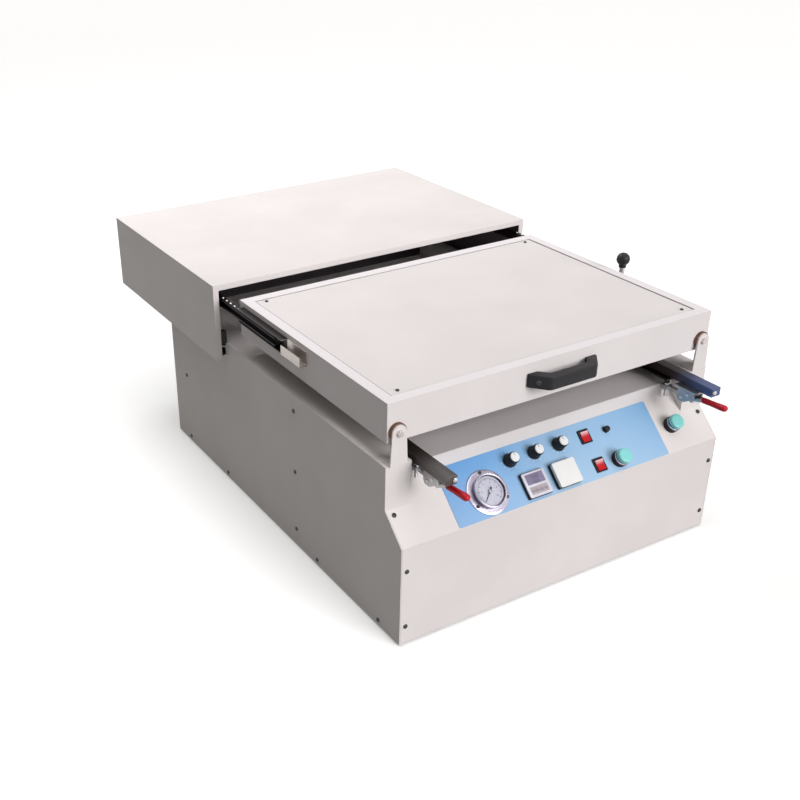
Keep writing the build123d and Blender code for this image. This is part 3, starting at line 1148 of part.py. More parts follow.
with BuildPart(MACHINE) as vacuum_tank:
    tx, ty, tz = TANK_AT
    tank_y = (ty - TANK_L / 2, ty + TANK_L / 2)
    rod_y(tx, tank_y, tz, TANK_R)
    fillet(vacuum_tank.edges().filter_by(GeomType.CIRCLE), 22)
    rod_y(tx, (tank_y[0] + 12, tank_y[1] - 12), tz, TANK_R - 3, Mode.SUBTRACT)
    for y in (ty - 80, ty + 80):
        block((tx - 45, tx + 45), (y - 10, y + 10), (PAN_TOP, tz - 45))
    rod_z(0, RISER_Y, (PAN_TOP, 166), RISER_R)
    rod_z(0, RISER_Y, (PAN_TOP + 4, 166), STEM_R + RUNNING_FIT, Mode.SUBTRACT)
    rod_z(0, RISER_Y, (158, 166), RISER_R + 3)
    rod_z(0, RISER_Y, (150, 166), STEM_R + RUNNING_FIT, Mode.SUBTRACT)
    y0 = FRONT_Y
    with BuildLine():
        FilletPolyline((0, RISER_Y + RISER_R - 1 + y0, 26), (0, 480 + y0, 26), (tx, 480 + y0, 26),
                       (tx, 480 + y0, tz), (tx, tank_y[0] + 2 + y0, tz), radius=16)
    with BuildSketch(Plane(origin=(0, RISER_Y + RISER_R - 1 + y0, 26), z_dir=(0, 1, 0))):
        Circle(PIPE_R)
    sweep()
    with BuildLine():
        FilletPolyline((tx, ty + y0, tz + TANK_R - 3), (tx, ty + y0, tz + TANK_R + 32),
                       (PUMP_AT[0] + 97, ty + y0, tz + TANK_R + 32),
                       (PUMP_AT[0] + 97, ty + y0, PUMP_AT[2] + 72), radius=18)
    with BuildSketch(Plane(origin=(tx, ty + y0, tz + TANK_R - 3))):
        Circle(PIPE_R)
    sweep()
finish(vacuum_tank, "vacuum_tank")

with BuildPart(MACHINE) as relay_rail:
    block((-180, 180), (106, 141), (PAN_TOP, PAN_TOP + 7.5))
    for k, width in enumerate((45, 45, 18, 18, 36, 54)):
        left = -170 + sum((45, 45, 18, 18, 36, 54)[:k]) + 4 * k
        block((left, left + width), (92, 155), (PAN_TOP + 7.5, PAN_TOP + 62 + 6 * (k % 3)))
finish(relay_rail, "relay_rail")

# ==== screws ======================================================================================
with BuildPart(MACHINE) as case_screws:
    for side in SIDES:
        for y, z in SIDE_SCREWS_AT:
            rod_x(sorted((side * HALF_W, side * (HALF_W + SCREW_HEAD_H))), y, z, SCREW_HEAD_R)
            rod_x(sorted((side * (HALF_W - SCREW_GRIP), side * HALF_W)), y, z, SCREW_R)
    for x, z in FRONT_SCREWS_AT:
        rod_y(x, (-SCREW_HEAD_H, 0), z, SCREW_HEAD_R)
        rod_y(x, (0, SCREW_GRIP), z, SCREW_R)
    for x, z in REAR_SCREWS_AT:
        rod_y(x, (CABINET_D, CABINET_D + SCREW_HEAD_H), z, SCREW_HEAD_R)
        rod_y(x, (CABINET_D - SCREW_GRIP, CABINET_D), z, SCREW_R)
    for at in SLOPE_SCREWS_AT:
        boss(at, SCREW_HEAD_R, -OVERLAY_T, SCREW_HEAD_H - OVERLAY_T)
        boss(at, SCREW_R, -SCREW_GRIP, -OVERLAY_T)
    for at in gauge_screws():
        boss(at, 3, 2, 4)
        boss(at, SCREW_R, -SCREW_GRIP, 2)
finish(case_screws, "case_screws")
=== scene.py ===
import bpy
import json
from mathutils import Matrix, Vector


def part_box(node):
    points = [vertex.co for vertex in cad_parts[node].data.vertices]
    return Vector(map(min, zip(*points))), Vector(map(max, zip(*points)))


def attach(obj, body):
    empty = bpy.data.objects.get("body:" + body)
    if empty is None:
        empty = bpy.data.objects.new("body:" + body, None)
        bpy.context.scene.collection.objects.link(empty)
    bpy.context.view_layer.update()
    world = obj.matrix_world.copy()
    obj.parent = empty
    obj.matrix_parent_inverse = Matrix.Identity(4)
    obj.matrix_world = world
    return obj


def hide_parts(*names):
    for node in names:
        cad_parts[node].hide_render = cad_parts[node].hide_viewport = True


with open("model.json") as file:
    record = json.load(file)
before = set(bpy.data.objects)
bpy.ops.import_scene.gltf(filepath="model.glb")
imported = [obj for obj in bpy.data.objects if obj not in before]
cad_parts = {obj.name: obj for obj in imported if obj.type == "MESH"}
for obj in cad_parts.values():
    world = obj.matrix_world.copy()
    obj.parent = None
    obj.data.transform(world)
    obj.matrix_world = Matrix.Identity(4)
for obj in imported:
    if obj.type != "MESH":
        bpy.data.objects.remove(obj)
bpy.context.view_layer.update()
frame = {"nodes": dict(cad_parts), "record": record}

import json
import math
import bmesh
import bpy
from mathutils import Matrix, Vector

# Vacuum forming machine: looks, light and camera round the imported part. Metres, the part's own frame.

NODES = frame["nodes"]

# ---- places read from the frame -------------------------------------------------------------------
MM = 0.001
FRONT_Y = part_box("front_panel")[0].y            # the upright front face
OVERLAY_LOW, OVERLAY_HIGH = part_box("control_overlay")
CREASE_Z, SLOPE_TOP_Z = 189.0, 261.0            # foot and head of the sloping control face
SLOPE_DEPTH = 76.5                              # how far back its head lies
SLOPE = math.atan2(SLOPE_TOP_Z - CREASE_Z, SLOPE_DEPTH)
FACE_X = Vector((1, 0, 0))
FACE_UP = Vector((0, math.cos(SLOPE), math.sin(SLOPE)))
FACE_OUT = Vector((0, -math.sin(SLOPE), math.cos(SLOPE)))
CREASE = Vector((0, FRONT_Y, CREASE_Z * MM))
OVERLAY_T = 0.8                                 # printed overlay on the painted slope

# Millimetres on the control face: across from the middle, up the slope from the crease.
GAUGE_AT = (-154.0, 41.0)
KNOBS_AT = [(-90.3, 78.6), (-39.2, 78.6), (13.2, 78.6)]
START_BUTTON_AT = (117.0, 21.0)
SIDE_BUTTON_AT = (255.5, 47.5)
CONTROLLER_AT = (-63.5, 28.0)
COUNTER_AT = (-1.5, 28.0)
RESET_BUTTON_AT = (119.0, 77.0)

CABINET_HALF_W, CABINET_D = 340, 863
# Screws in millimetres: (depth, height) on the sides, (across, height) in front and behind.
SIDE_SCREWS_AT = [(335, 38), (335, 159), (335, 281), (62, 14), (261, 14), (620, 14), (800, 14), (800, 159)]
FRONT_SCREWS_AT = [(-329, 38), (329, 38), (-329, 145), (329, 145)]
SLOPE_SCREWS_AT = [(-328, 55), (328, 55)]
REAR_SCREWS_AT = [(-325, 40), (325, 40), (-325, 250), (325, 250), (0, 270)]
CLAMP_X = 269.0                                 # toggle clamps, either side of the middle
ARM_X, ARM_Z = 271, 311                         # middle of each arm's end face


def on_face(at, height=0.0):
    """Matrix that puts a piece drawn in millimetres on the control face: x across, y up the slope."""
    place = CREASE + FACE_X * at[0] * MM + FACE_UP * at[1] * MM + FACE_OUT * (height + OVERLAY_T) * MM
    turn = Matrix((FACE_X, FACE_UP, FACE_OUT)).transposed().to_4x4()
    return Matrix.Translation(place) @ turn @ Matrix.Scale(MM, 4)


# ---- materials ------------------------------------------------------------------------------------
def srgb(r, g, b):
    """Scene-linear colour of 0-255 display values."""
    return tuple(((v / 255 + 0.055) / 1.055) ** 2.4 if v > 10 else v / 255 / 12.92 for v in (r, g, b))


COAT_ROUGHNESS = 0.12
ROUGH_SPREAD = 0.05             # roughness varies by this much with the patches of a surface
BUMP_HEIGHT = 0.0004


def shade(colour, k):
    """A colour made lighter or darker, with its alpha."""
    return tuple(min(1.0, c * k) for c in colour) + (1.0,)


class Surface:
    """A procedural material: mottled colour, fine grain, softened edges.

    colour, rough, metal, coat and gloss go to the shader; mottle is the depth of the colour's patches and
    mottle_scale their number per metre; grain and grain_depth are those of the bump; edge is the radius, in
    metres, that sharp edges seem to have; stretch draws the patches out along an axis.
    """

    def __init__(self, name, colour, rough, metal=0.0, mottle=0.04, mottle_scale=7.0,
                 grain=900.0, grain_depth=0.05, edge=0.0008, coat=0.0, stretch=(1, 1, 1), gloss=0.5):
        self.material = bpy.data.materials.new(name)
        self.material.use_nodes = True
        self.tree = self.material.node_tree
        self.bsdf = self.tree.nodes["Principled BSDF"]
        self.bsdf.inputs["Metallic"].default_value = metal
        self.bsdf.inputs["Specular IOR Level"].default_value = gloss
        self.bsdf.inputs["Coat Weight"].default_value = coat
        self.bsdf.inputs["Coat Roughness"].default_value = COAT_ROUGHNESS
        self.bsdf.inputs["Base Color"].default_value = shade(colour, 1)
        self.bsdf.inputs["Roughness"].default_value = rough
        self.coords = self.add("ShaderNodeTexCoord").outputs["Object"]
        self.mapped = self.mapping(stretch)
        patches = self.noise(mottle_scale, 4)
        self.base = self.ramp(patches, shade(colour, 1 - mottle), shade(colour, 1 + mottle))
        self.link(self.base, "Base Color")
        self.link(self.scale(patches, rough - ROUGH_SPREAD, rough + ROUGH_SPREAD), "Roughness")
        bump = self.add("ShaderNodeBump")
        bump.inputs["Strength"].default_value = grain_depth
        bump.inputs["Distance"].default_value = BUMP_HEIGHT
        self.tree.links.new(self.noise(grain, 2), bump.inputs["Height"])
        if edge > 0:
            bevel = self.add("ShaderNodeBevel")
            bevel.samples = 4
            bevel.inputs["Radius"].default_value = edge
            self.tree.links.new(bevel.outputs["Normal"], bump.inputs["Normal"])
        self.link(bump.outputs["Normal"], "Normal")

    def add(self, kind):
        return self.tree.nodes.new(kind)

    def link(self, output, socket):
        self.tree.links.new(output, self.bsdf.inputs[socket])

    def mapping(self, stretch):
        node = self.add("ShaderNodeMapping")
        node.inputs["Scale"].default_value = stretch
        self.tree.links.new(self.coords, node.inputs["Vector"])
        return node.outputs["Vector"]

    def noise(self, scale, detail):
        node = self.add("ShaderNodeTexNoise")
        node.inputs["Scale"].default_value = scale
        node.inputs["Detail"].default_value = detail
        self.tree.links.new(self.mapped, node.inputs["Vector"])
        return node.outputs["Fac"]

    def ramp(self, value, low, high, start=0.3, end=0.7):
        node = self.add("ShaderNodeValToRGB")
        node.color_ramp.elements[0].position = start
        node.color_ramp.elements[0].color = low
        node.color_ramp.elements[1].position = end
        node.color_ramp.elements[1].color = high
        self.tree.links.new(value, node.inputs["Fac"])
        return node.outputs["Color"]

    def scale(self, value, low, high):
        node = self.add("ShaderNodeMapRange")
        node.inputs["To Min"].default_value = low
        node.inputs["To Max"].default_value = high
        self.tree.links.new(value, node.inputs["Value"])
        return node.outputs["Result"]

    def axis(self, name):
        node = self.add("ShaderNodeSeparateXYZ")
        self.tree.links.new(self.coords, node.inputs["Vector"])
        return node.outputs[name]

    def math(self, operation, a, b):
        node = self.add("ShaderNodeMath")
        node.operation = operation
        for value, socket in zip((a, b), node.inputs):
            if isinstance(value, (int, float)):
                socket.default_value = value
            else:
                self.tree.links.new(value, socket)
        return node.outputs[0]

    def between(self, value, low, high):
        """1 where a value lies between two limits, else 0."""
        above, below = self.math("GREATER_THAN", value, low), self.math("LESS_THAN", value, high)
        return self.math("MULTIPLY", above, below)

    def away(self, axis, place):
        """Distance from a place along an axis."""
        return self.math("ABSOLUTE", self.math("SUBTRACT", self.axis(axis), place), 0.0)

    def fade(self, axis, start, end):
        """0 to 1 between two places along an axis."""
        node = self.add("ShaderNodeMapRange")
        node.inputs["From Min"].default_value = start
        node.inputs["From Max"].default_value = end
        self.tree.links.new(self.axis(axis), node.inputs["Value"])
        return node.outputs["Result"]

    def tint(self, factor, colour):
        """Another colour where the factor is 1."""
        self.base = self.mix(factor, self.base, colour + (1.0,))
        self.link(self.base, "Base Color")
        return self

    def mix(self, factor, a, b):
        node = self.add("ShaderNodeMix")
        node.data_type = "RGBA"
        self.tree.links.new(factor, node.inputs["Factor"])
        for value, socket in ((a, node.inputs["A"]), (b, node.inputs["B"])):
            if isinstance(value, tuple):
                socket.default_value = value
            else:
                self.tree.links.new(value, socket)
        return node.outputs["Result"]


def overlay_surface():
    """Printed film: a plain blue gradient, deeper at both upper ends and paler low in the middle."""
    s = Surface("overlay_print", srgb(128, 190, 240), 0.45, mottle=0.05, grain=1500, grain_depth=0.02,
                gloss=0.25)
    sweep = s.add("ShaderNodeValToRGB")
    stops = [(0.0, (84, 150, 216)), (0.2, (98, 162, 222)), (0.5, (146, 188, 226)),
             (0.75, (150, 192, 230)), (1.0, (120, 174, 222))]
    while len(sweep.color_ramp.elements) < len(stops):
        sweep.color_ramp.elements.new(0.5)
    for element, (position, colour) in zip(sweep.color_ramp.elements, stops):
        element.position = position
        element.color = srgb(*colour) + (1.0,)
    s.tree.links.new(s.fade("X", OVERLAY_LOW.x, OVERLAY_HIGH.x), sweep.inputs["Fac"])
    s.base = sweep.outputs["Color"]
    s.tint(s.scale(s.fade("Z", OVERLAY_HIGH.z, OVERLAY_LOW.z), 0.0, 0.35), srgb(196, 220, 240))
    s.tint(s.scale(s.noise(9, 3), 0.0, 0.25), srgb(186, 212, 236))
    return s.material


def painted_border_shade(surface, node, width, colour):
    """A painted shadow line: another colour just inside the border of a flat panel, for the shade in the gap
    round it.
    """
    low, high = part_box(node)
    nearest = surface.away("X", low.x)
    for axis, limit in (("X", high.x), ("Y", low.y), ("Y", high.y)):
        nearest = surface.math("MINIMUM", nearest, surface.away(axis, limit))
    # painted shadow: a dark line along the border, where the gap to the rim lies in shade
    return surface.tint(surface.math("LESS_THAN", nearest, width), colour)


def painted_shade_between(surface, start, end):
    """Painted shade: dark metal between two depths from the front face, in metres."""
    # painted shade: a dark colour for the slides where they lie in shade
    return surface.tint(surface.between(surface.axis("Y"), FRONT_Y + start, FRONT_Y + end), srgb(46, 40, 42))


def slide_balls(surface, centre):
    """Bright balls standing out of dark cages, above and below the centre line of the slides."""
    height = surface.away("Z", centre)
    outside = surface.math("GREATER_THAN", height, 6.95 * MM)       # balls start where the member ends
    cage = surface.between(height, 8.5 * MM, 9.4 * MM)
    return surface.tint(surface.math("SUBTRACT", outside, cage), srgb(226, 220, 216))


def glass_surface():
    """Clear glass, with a low index so that the dial behind it stays sharp and unshaded."""
    s = Surface("clear_lens", srgb(235, 240, 240), 0.03, mottle=0.01, grain=300, grain_depth=0.01, edge=0)
    s.bsdf.inputs["Transmission Weight"].default_value = 1.0
    s.bsdf.inputs["IOR"].default_value = 1.1
    return s.material


def frame_surface():
    """Bare steel of the sheet frames, with painted shade, dark brown, under the heater that leaves the arms'
    tips grey, and a painted blue reflection on the right.
    """
    s = Surface("frame_steel", srgb(98, 95, 94), 0.42, metal=0.5, mottle=0.3, mottle_scale=60,
                stretch=(1, 0.3, 1))
    # painted reflection: the frame on the right is tinted blue
    s.tint(s.between(s.axis("X"), 0.0, 1.0), srgb(74, 88, 128))
    # painted shade: the frames turn dark brown from the front face back, fully by 55 mm behind it, under the
    # heater
    s.tint(s.fade("Y", FRONT_Y, FRONT_Y + 0.055), srgb(52, 42, 40))
    return s.material


def painted(name, colour, mottle=0.03, grain_depth=0.05):
    """Pale powder coat with a fine orange peel."""
    return Surface(name, colour, 0.62, mottle=mottle, grain=1400, grain_depth=grain_depth, gloss=0.1)


def red_plastic(name):
    """Moulded rocker of a mains switch."""
    return Surface(name, srgb(198, 10, 26), 0.35, mottle=0.05, mottle_scale=40, gloss=0.3)


def steel(name):
    """Zinc-plated strip of the telescopic slides."""
    return Surface(name, srgb(178, 170, 164), 0.32, metal=0.9, mottle=0.2, mottle_scale=40,
                   stretch=(1, 0.2, 1))


# LID_PAINT is the heater's paint made a little darker, as painted shade on the lid.
CABINET_PAINT, HEATER_PAINT, LID_PAINT = srgb(232, 226, 225), srgb(234, 228, 228), srgb(231, 225, 225)
MATERIALS = {
    "painted_sheet": painted("painted_sheet", CABINET_PAINT, 0.035, 0.06).material,
    "hood_paint": painted("hood_paint", CABINET_PAINT, 0.035, 0.06).material,
    "heater_paint": painted("heater_paint", HEATER_PAINT).material,
    "black_rubber": Surface("black_rubber", srgb(38, 38, 40), 0.75, mottle=0.2, mottle_scale=60).material,
    "silicone": Surface("silicone", srgb(150, 84, 62), 0.6, mottle=0.1, mottle_scale=40).material,
    "zinc_steel": Surface("zinc_steel", srgb(176, 176, 178), 0.34, metal=1.0, mottle=0.15, mottle_scale=30,
                          stretch=(1, 0.15, 1)).material,
    "magnet_steel": Surface("magnet_steel", srgb(150, 128, 104), 0.3, metal=1.0, mottle=0.2,
                            mottle_scale=90).material,
    "frame_steel": frame_surface(),
    "vinyl_grip": Surface("vinyl_grip", srgb(196, 10, 34), 0.3, mottle=0.06, mottle_scale=60,
                          gloss=0.3).material,
    "overlay_print": overlay_surface(),
    "instrument_black": Surface("instrument_black", srgb(20, 17, 22), 0.42, mottle=0.12, mottle_scale=50,
                                gloss=0.3).material,
    "counter_white": Surface("counter_white", srgb(236, 236, 236), 0.4, mottle=0.02, edge=0.001).material,
    "mint_green": Surface("mint_green", srgb(134, 216, 214), 0.35, mottle=0.04, mottle_scale=40).material,
    "switch_red": red_plastic("switch_red").material,
    "gauge_chrome": Surface("gauge_chrome", srgb(186, 180, 196), 0.24, metal=0.85, mottle=0.12,
                            mottle_scale=60).material,
    "clear_lens": glass_surface(),
    "needle_black": Surface("needle_black", srgb(30, 30, 32), 0.4, edge=0).material,
    "pot_metal": Surface("pot_metal", srgb(170, 170, 172), 0.4, metal=1.0).material,
    "bronze_bush": Surface("bronze_bush", srgb(178, 142, 92), 0.4, metal=1.0, mottle=0.1).material,
    "ground_steel": Surface("ground_steel", srgb(196, 196, 198), 0.22, metal=1.0, mottle=0.06,
                            mottle_scale=40).material,
    "platen_aluminium": Surface("platen_aluminium", srgb(166, 168, 171), 0.48, metal=0.9, mottle=0.08,
                                stretch=(1, 0.1, 1), mottle_scale=60).material,
    "pump_casting": Surface("pump_casting", srgb(70, 76, 82), 0.55, mottle=0.15, mottle_scale=50,
                            grain_depth=0.3, grain=500).material,
    "tank_paint": Surface("tank_paint", srgb(62, 82, 122), 0.3, mottle=0.06, coat=0.4).material,
    "element_ceramic": Surface("element_ceramic", srgb(224, 220, 210), 0.35, mottle=0.05,
                               mottle_scale=50).material,
    "relay_plastic": Surface("relay_plastic", srgb(92, 96, 104), 0.5, mottle=0.08, mottle_scale=40).material,
}
INK = Surface("printed_ink", srgb(40, 44, 54), 0.5, mottle=0.03, edge=0).material
WHITE_INK = Surface("white_ink", srgb(240, 244, 248), 0.5, mottle=0.02, edge=0).material
DIAL = Surface("dial_card", srgb(198, 190, 204), 0.5, mottle=0.03, mottle_scale=80, edge=0).material
CAP_WHITE = Surface("knob_cap_white", srgb(236, 238, 240), 0.3, mottle=0.02, coat=0.4, edge=0).material
SILVER_FACE = Surface("instrument_silver", srgb(206, 204, 214), 0.4, metal=0.2, mottle=0.04,
                      mottle_scale=60).material
WINDOW = Surface("display_window", srgb(128, 120, 150), 0.2, mottle=0.08, mottle_scale=60, coat=0.3,
                 edge=0).material
KEY_FIELD = Surface("key_field", srgb(176, 166, 172), 0.45, mottle=0.08, mottle_scale=90, edge=0).material
KEYS = Surface("instrument_keys", srgb(150, 146, 158), 0.4, mottle=0.06, mottle_scale=90).material
SEGMENT = Surface("unlit_segment", srgb(104, 96, 122), 0.3, mottle=0.04, edge=0).material
SCREW_DARK = Surface("screw_dark", srgb(70, 70, 72), 0.35, metal=0.9, mottle=0.1, mottle_scale=90).material
# painted shade: the gauge case, whose inner wall shows round the dial, is made dark
PAINTED_BEZEL_SHADE = Surface("bezel_inside_painted_shade", srgb(66, 54, 66), 0.4, mottle=0.1, mottle_scale=80, edge=0).material

for entry in frame["record"]["subparts"]:
    node = NODES[entry["node"]]
    node.data.materials.clear()
    node.data.materials.append(MATERIALS[entry["material_slot"]])


EVERYWHERE = 10.0              # metres: past the end of the part, whichever the axis


def heater_shell_paint():
    """The heater's paint, with a painted highlight that makes its top rim brighter."""
    s = painted("rim_painted_highlight", HEATER_PAINT)
    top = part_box("heater_shell")[1].z
    # painted highlight: the top rim is given a lighter colour than the rest of the shell
    return s.tint(s.between(s.axis("Z"), top - 0.0004, EVERYWHERE), srgb(240, 234, 237))


def hood_shell_paint():
    """The hood's paint outside, and painted shade, a grey, on its inside."""
    s = painted("hood_paint_and_painted_inside_shade", CABINET_PAINT, 0.035, 0.06)
    low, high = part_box("hood_shell")
    skin, lip = 0.0013, 0.001                   # metres from the outside, on the broad sides and at the ends
    inside = s.between(s.axis("X"), low.x + skin, high.x - skin)
    inside = s.math("MULTIPLY", inside, s.between(s.axis("Y"), low.y + lip, high.y - lip))
    inside = s.math("MULTIPLY", inside, s.between(s.axis("Z"), 0.0, high.z - skin))
    # painted shade: every surface inside the hood is given a darker grey
    return s.tint(inside, srgb(118, 110, 116))


def magnet_surface():
    """Browned cups of the stop magnets, with a bright face."""
    s = Surface("magnet_faces", srgb(112, 82, 70), 0.3, metal=0.9, mottle=0.3, mottle_scale=90)
    return s.tint(s.between(s.axis("Y"), -EVERYWHERE, FRONT_Y + 0.0452), srgb(206, 200, 196))


def rocker_surface(node):
    """Red rocker with a painted highlight, pale pink, on its upper end."""
    low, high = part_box(node)
    s = red_plastic(node + "_red")
    # painted highlight: the upper end of the rocker is given a pale pink
    return s.tint(s.fade("Z", low.z * 0.4 + high.z * 0.6, high.z), srgb(238, 196, 204))


SLIDE_Z = sum(corner.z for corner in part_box("slide_outer_members")) / 2
TROUGH_END = 0.356             # the front troughs of the slides keep the steel's colour, all behind them gets painted shade
LOOKS = {
    # the lid gets a painted shadow line along its border
    "heater_lid": painted_border_shade(painted("lid_paint", LID_PAINT), "heater_lid", 0.0011, srgb(92, 84, 88)),
    "heater_shell": heater_shell_paint(),
    "hood_shell": hood_shell_paint(),
    "pot_magnets": magnet_surface(),
    # the slides behind their front troughs get painted shade, darker than their steel
    "slide_inner_members": painted_shade_between(steel("slide_heater_members"), TROUGH_END, EVERYWHERE),
    "slide_middle_members": slide_balls(painted_shade_between(steel("slide_middle_members"), -1.0, EVERYWHERE), SLIDE_Z),
    "slide_outer_members": painted_shade_between(steel("slide_fixed_members"), -1.0, EVERYWHERE),
    "rocker_1": rocker_surface("rocker_1"),
    "rocker_2": rocker_surface("rocker_2"),
}
for name, look in LOOKS.items():
    NODES[name].data.materials[0] = look.material


# ---- building pieces --------------------------------------------------------------------------------
def mesh_piece(name, grid, material, body, place=Matrix.Identity(4), smooth=40):
    """A piece from a bmesh drawn in millimetres and placed by a matrix that scales it to metres."""
    mesh = bpy.data.meshes.new(name)
    bmesh.ops.recalc_face_normals(grid, faces=grid.faces)
    grid.to_mesh(mesh)
    grid.free()
    mesh.transform(place)
    mesh.materials.append(material)
    mesh.shade_smooth()
    mesh.set_sharp_from_angle(angle=math.radians(smooth))
    piece = bpy.data.objects.new(name, mesh)
    bpy.context.collection.objects.link(piece)
    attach(piece, body)
    return piece


def lathed(grid, profile, steps=48, centre=(0.0, 0.0), ridges=0, ridge=0.0, capped=True):
    """Turns (radius, height) points round the Z axis and gives back the rings; ridges make a fluted grip."""
    rings = []
    for radius, height in profile:
        ring = []
        for k in range(steps):
            turn = 2 * math.pi * k / steps
            r = radius + (ridge * math.cos(ridges * turn) if ridges and radius > 1 else 0)
            x, y = centre[0] + r * math.cos(turn), centre[1] + r * math.sin(turn)
            ring.append(grid.verts.new((x, y, height)))
        rings.append(ring)
    for low, high in zip(rings, rings[1:]):
        for k in range(steps):
            grid.faces.new((low[k], low[(k + 1) % steps], high[(k + 1) % steps], high[k]))
    for ring in (rings[0], rings[-1]) if capped else ():
        grid.faces.new(ring)
    return rings


def prism(grid, outline, low, high, bevel=0.0):
    """A straight prism over an outline, with its edges bevelled."""
    floor_ring = [grid.verts.new((x, y, low)) for x, y in outline]
    roof_ring = [grid.verts.new((x, y, high)) for x, y in outline]
    count = len(outline)
    faces = [grid.faces.new(floor_ring[::-1]), grid.faces.new(roof_ring)]
    for k in range(count):
        n = (k + 1) % count
        faces.append(grid.faces.new((floor_ring[k], floor_ring[n], roof_ring[n], roof_ring[k])))
    if bevel > 0:
        edges = list({e for f in faces for e in f.edges})
        bmesh.ops.bevel(grid, geom=edges, offset=bevel, segments=3, profile=0.6, affect="EDGES")


def rounded_rectangle(width, length, radius, centre=(0.0, 0.0), steps=5):
    """Outline points of a rounded rectangle."""
    points = []
    for quarter in range(4):
        cx = centre[0] + (width / 2 - radius) * (1, -1, -1, 1)[quarter]
        cy = centre[1] + (length / 2 - radius) * (1, 1, -1, -1)[quarter]
        for k in range(steps + 1):
            turn = math.pi / 2 * (quarter + k / steps)
            points.append((cx + radius * math.cos(turn), cy + radius * math.sin(turn)))
    return points


def bar_outline(start, end, width):
    """A thin straight line as a four-point outline."""
    dx, dy = end[0] - start[0], end[1] - start[1]
    length = math.hypot(dx, dy)
    sx, sy = -dy / length * width / 2, dx / length * width / 2
    return [(start[0] + sx, start[1] + sy), (start[0] - sx, start[1] - sy),
            (end[0] - sx, end[1] - sy), (end[0] + sx, end[1] + sy)]


def polar(radius, degrees):
    """A point on a circle round the origin."""
    turn = math.radians(degrees)
    return radius * math.cos(turn), radius * math.sin(turn)


def lettering(name, text, size, place, material, body):
    """Flat lettering, as mesh, centred on a matrix in millimetres."""
    curve = bpy.data.curves.new(name, "FONT")
    curve.body = text
    curve.size = size
    curve.align_x = "CENTER"
    curve.align_y = "CENTER"
    curve.extrude = 0.04
    holder = bpy.data.objects.new(name + "_curve", curve)
    bpy.context.collection.objects.link(holder)
    bpy.context.view_layer.update()
    mesh = bpy.data.meshes.new_from_object(holder.evaluated_get(bpy.context.evaluated_depsgraph_get()))
    bpy.data.objects.remove(holder)
    mesh.transform(place)
    mesh.materials.clear()
    mesh.materials.append(material)
    piece = bpy.data.objects.new(name, mesh)
    bpy.context.collection.objects.link(piece)
    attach(piece, body)


# ---- control face -----------------------------------------------------------------------------------
SCALE_START, SCALE_SWEEP = 225, 270             # degrees: the dial's zero, and the turn to its last mark
SCALE_MARKS = 50
SCALE_RING_R = 21.8
DIAL_TOP = 7.25


def gauge():
    """Flanged vacuum gauge: turned flange, case and bezel, a card dial with its scale and a needle hub."""
    face = on_face(GAUGE_AT)
    chrome = MATERIALS["gauge_chrome"]
    grid = bmesh.new()
    lathed(grid, [(30, -34), (30, -0.2), (38.1, -0.2), (38.5, 0.3), (38.5, 1.6), (38.0, 2.0), (34.6, 2.1),
                  (34.2, 2.5), (31.6, 2.6), (28.2, 3.0)], steps=96, capped=False)
    mesh_piece("gauge_flange", grid, chrome, "cabinet", face)
    grid = bmesh.new()
    lathed(grid, [(28.0, -30.0), (28.3, 2.2), (28.3, 8.4), (27.0, 8.6), (25.4, 8.2), (25.2, 7.0), (5, 7.0),
                  (0.5, 7.0)], steps=96)
    # the case's dark inner wall is painted shade round the dial's edge
    body = mesh_piece("gauge_body", grid, PAINTED_BEZEL_SHADE, "cabinet", face)
    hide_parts("gauge_case")
    grid = bmesh.new()
    rim = [(28.0, 8.0), (29.1, 8.4), (29.4, 9.2), (29.4, 11.4), (28.9, 12.4), (28.0, 12.8), (27.0, 12.6),
           (26.4, 12.1), (26.2, 11.2), (26.4, 10.4), (27.4, 9.0)]
    lathed(grid, rim + rim[:1], steps=96, capped=False)
    mesh_piece("gauge_bezel", grid, chrome, "cabinet", face)
    grid = bmesh.new()
    lathed(grid, [(25.15, DIAL_TOP - 0.2), (25.15, DIAL_TOP), (0.5, DIAL_TOP)], steps=72)
    mesh_piece("gauge_dial", grid, DIAL, "cabinet", face)
    grid = bmesh.new()
    ink = (DIAL_TOP - 0.01, DIAL_TOP + 0.07)
    for k in range(SCALE_MARKS + 1):
        turn = SCALE_START - SCALE_SWEEP * k / SCALE_MARKS
        inner, width = (17.8, 0.7) if k % 5 == 0 else (19.6, 0.35)
        prism(grid, bar_outline(polar(inner, turn), polar(21.6, turn), width), *ink)
    for turn in range(SCALE_START, SCALE_START - SCALE_SWEEP, -5):
        prism(grid, bar_outline(polar(SCALE_RING_R, turn), polar(SCALE_RING_R, turn - 5), 0.3), *ink)
    mesh_piece("gauge_scale", grid, INK, "cabinet", face)
    for k, text in enumerate(("0", "2", "4", "6", "8", "10")):
        x, y = polar(14.6, SCALE_START - SCALE_SWEEP * k / 5)
        place = on_face((GAUGE_AT[0] + x, GAUGE_AT[1] + y), DIAL_TOP + 0.05)
        lettering(f"gauge_number_{k}", text, 4.0, place, INK, "cabinet")
    grid = bmesh.new()
    lathed(grid, [(3.4, 7.4), (3.4, 9.0), (2.4, 9.8), (0.3, 9.9)], steps=32)
    mesh_piece("gauge_hub", grid, MATERIALS["pot_metal"], "gauge_needle", face)


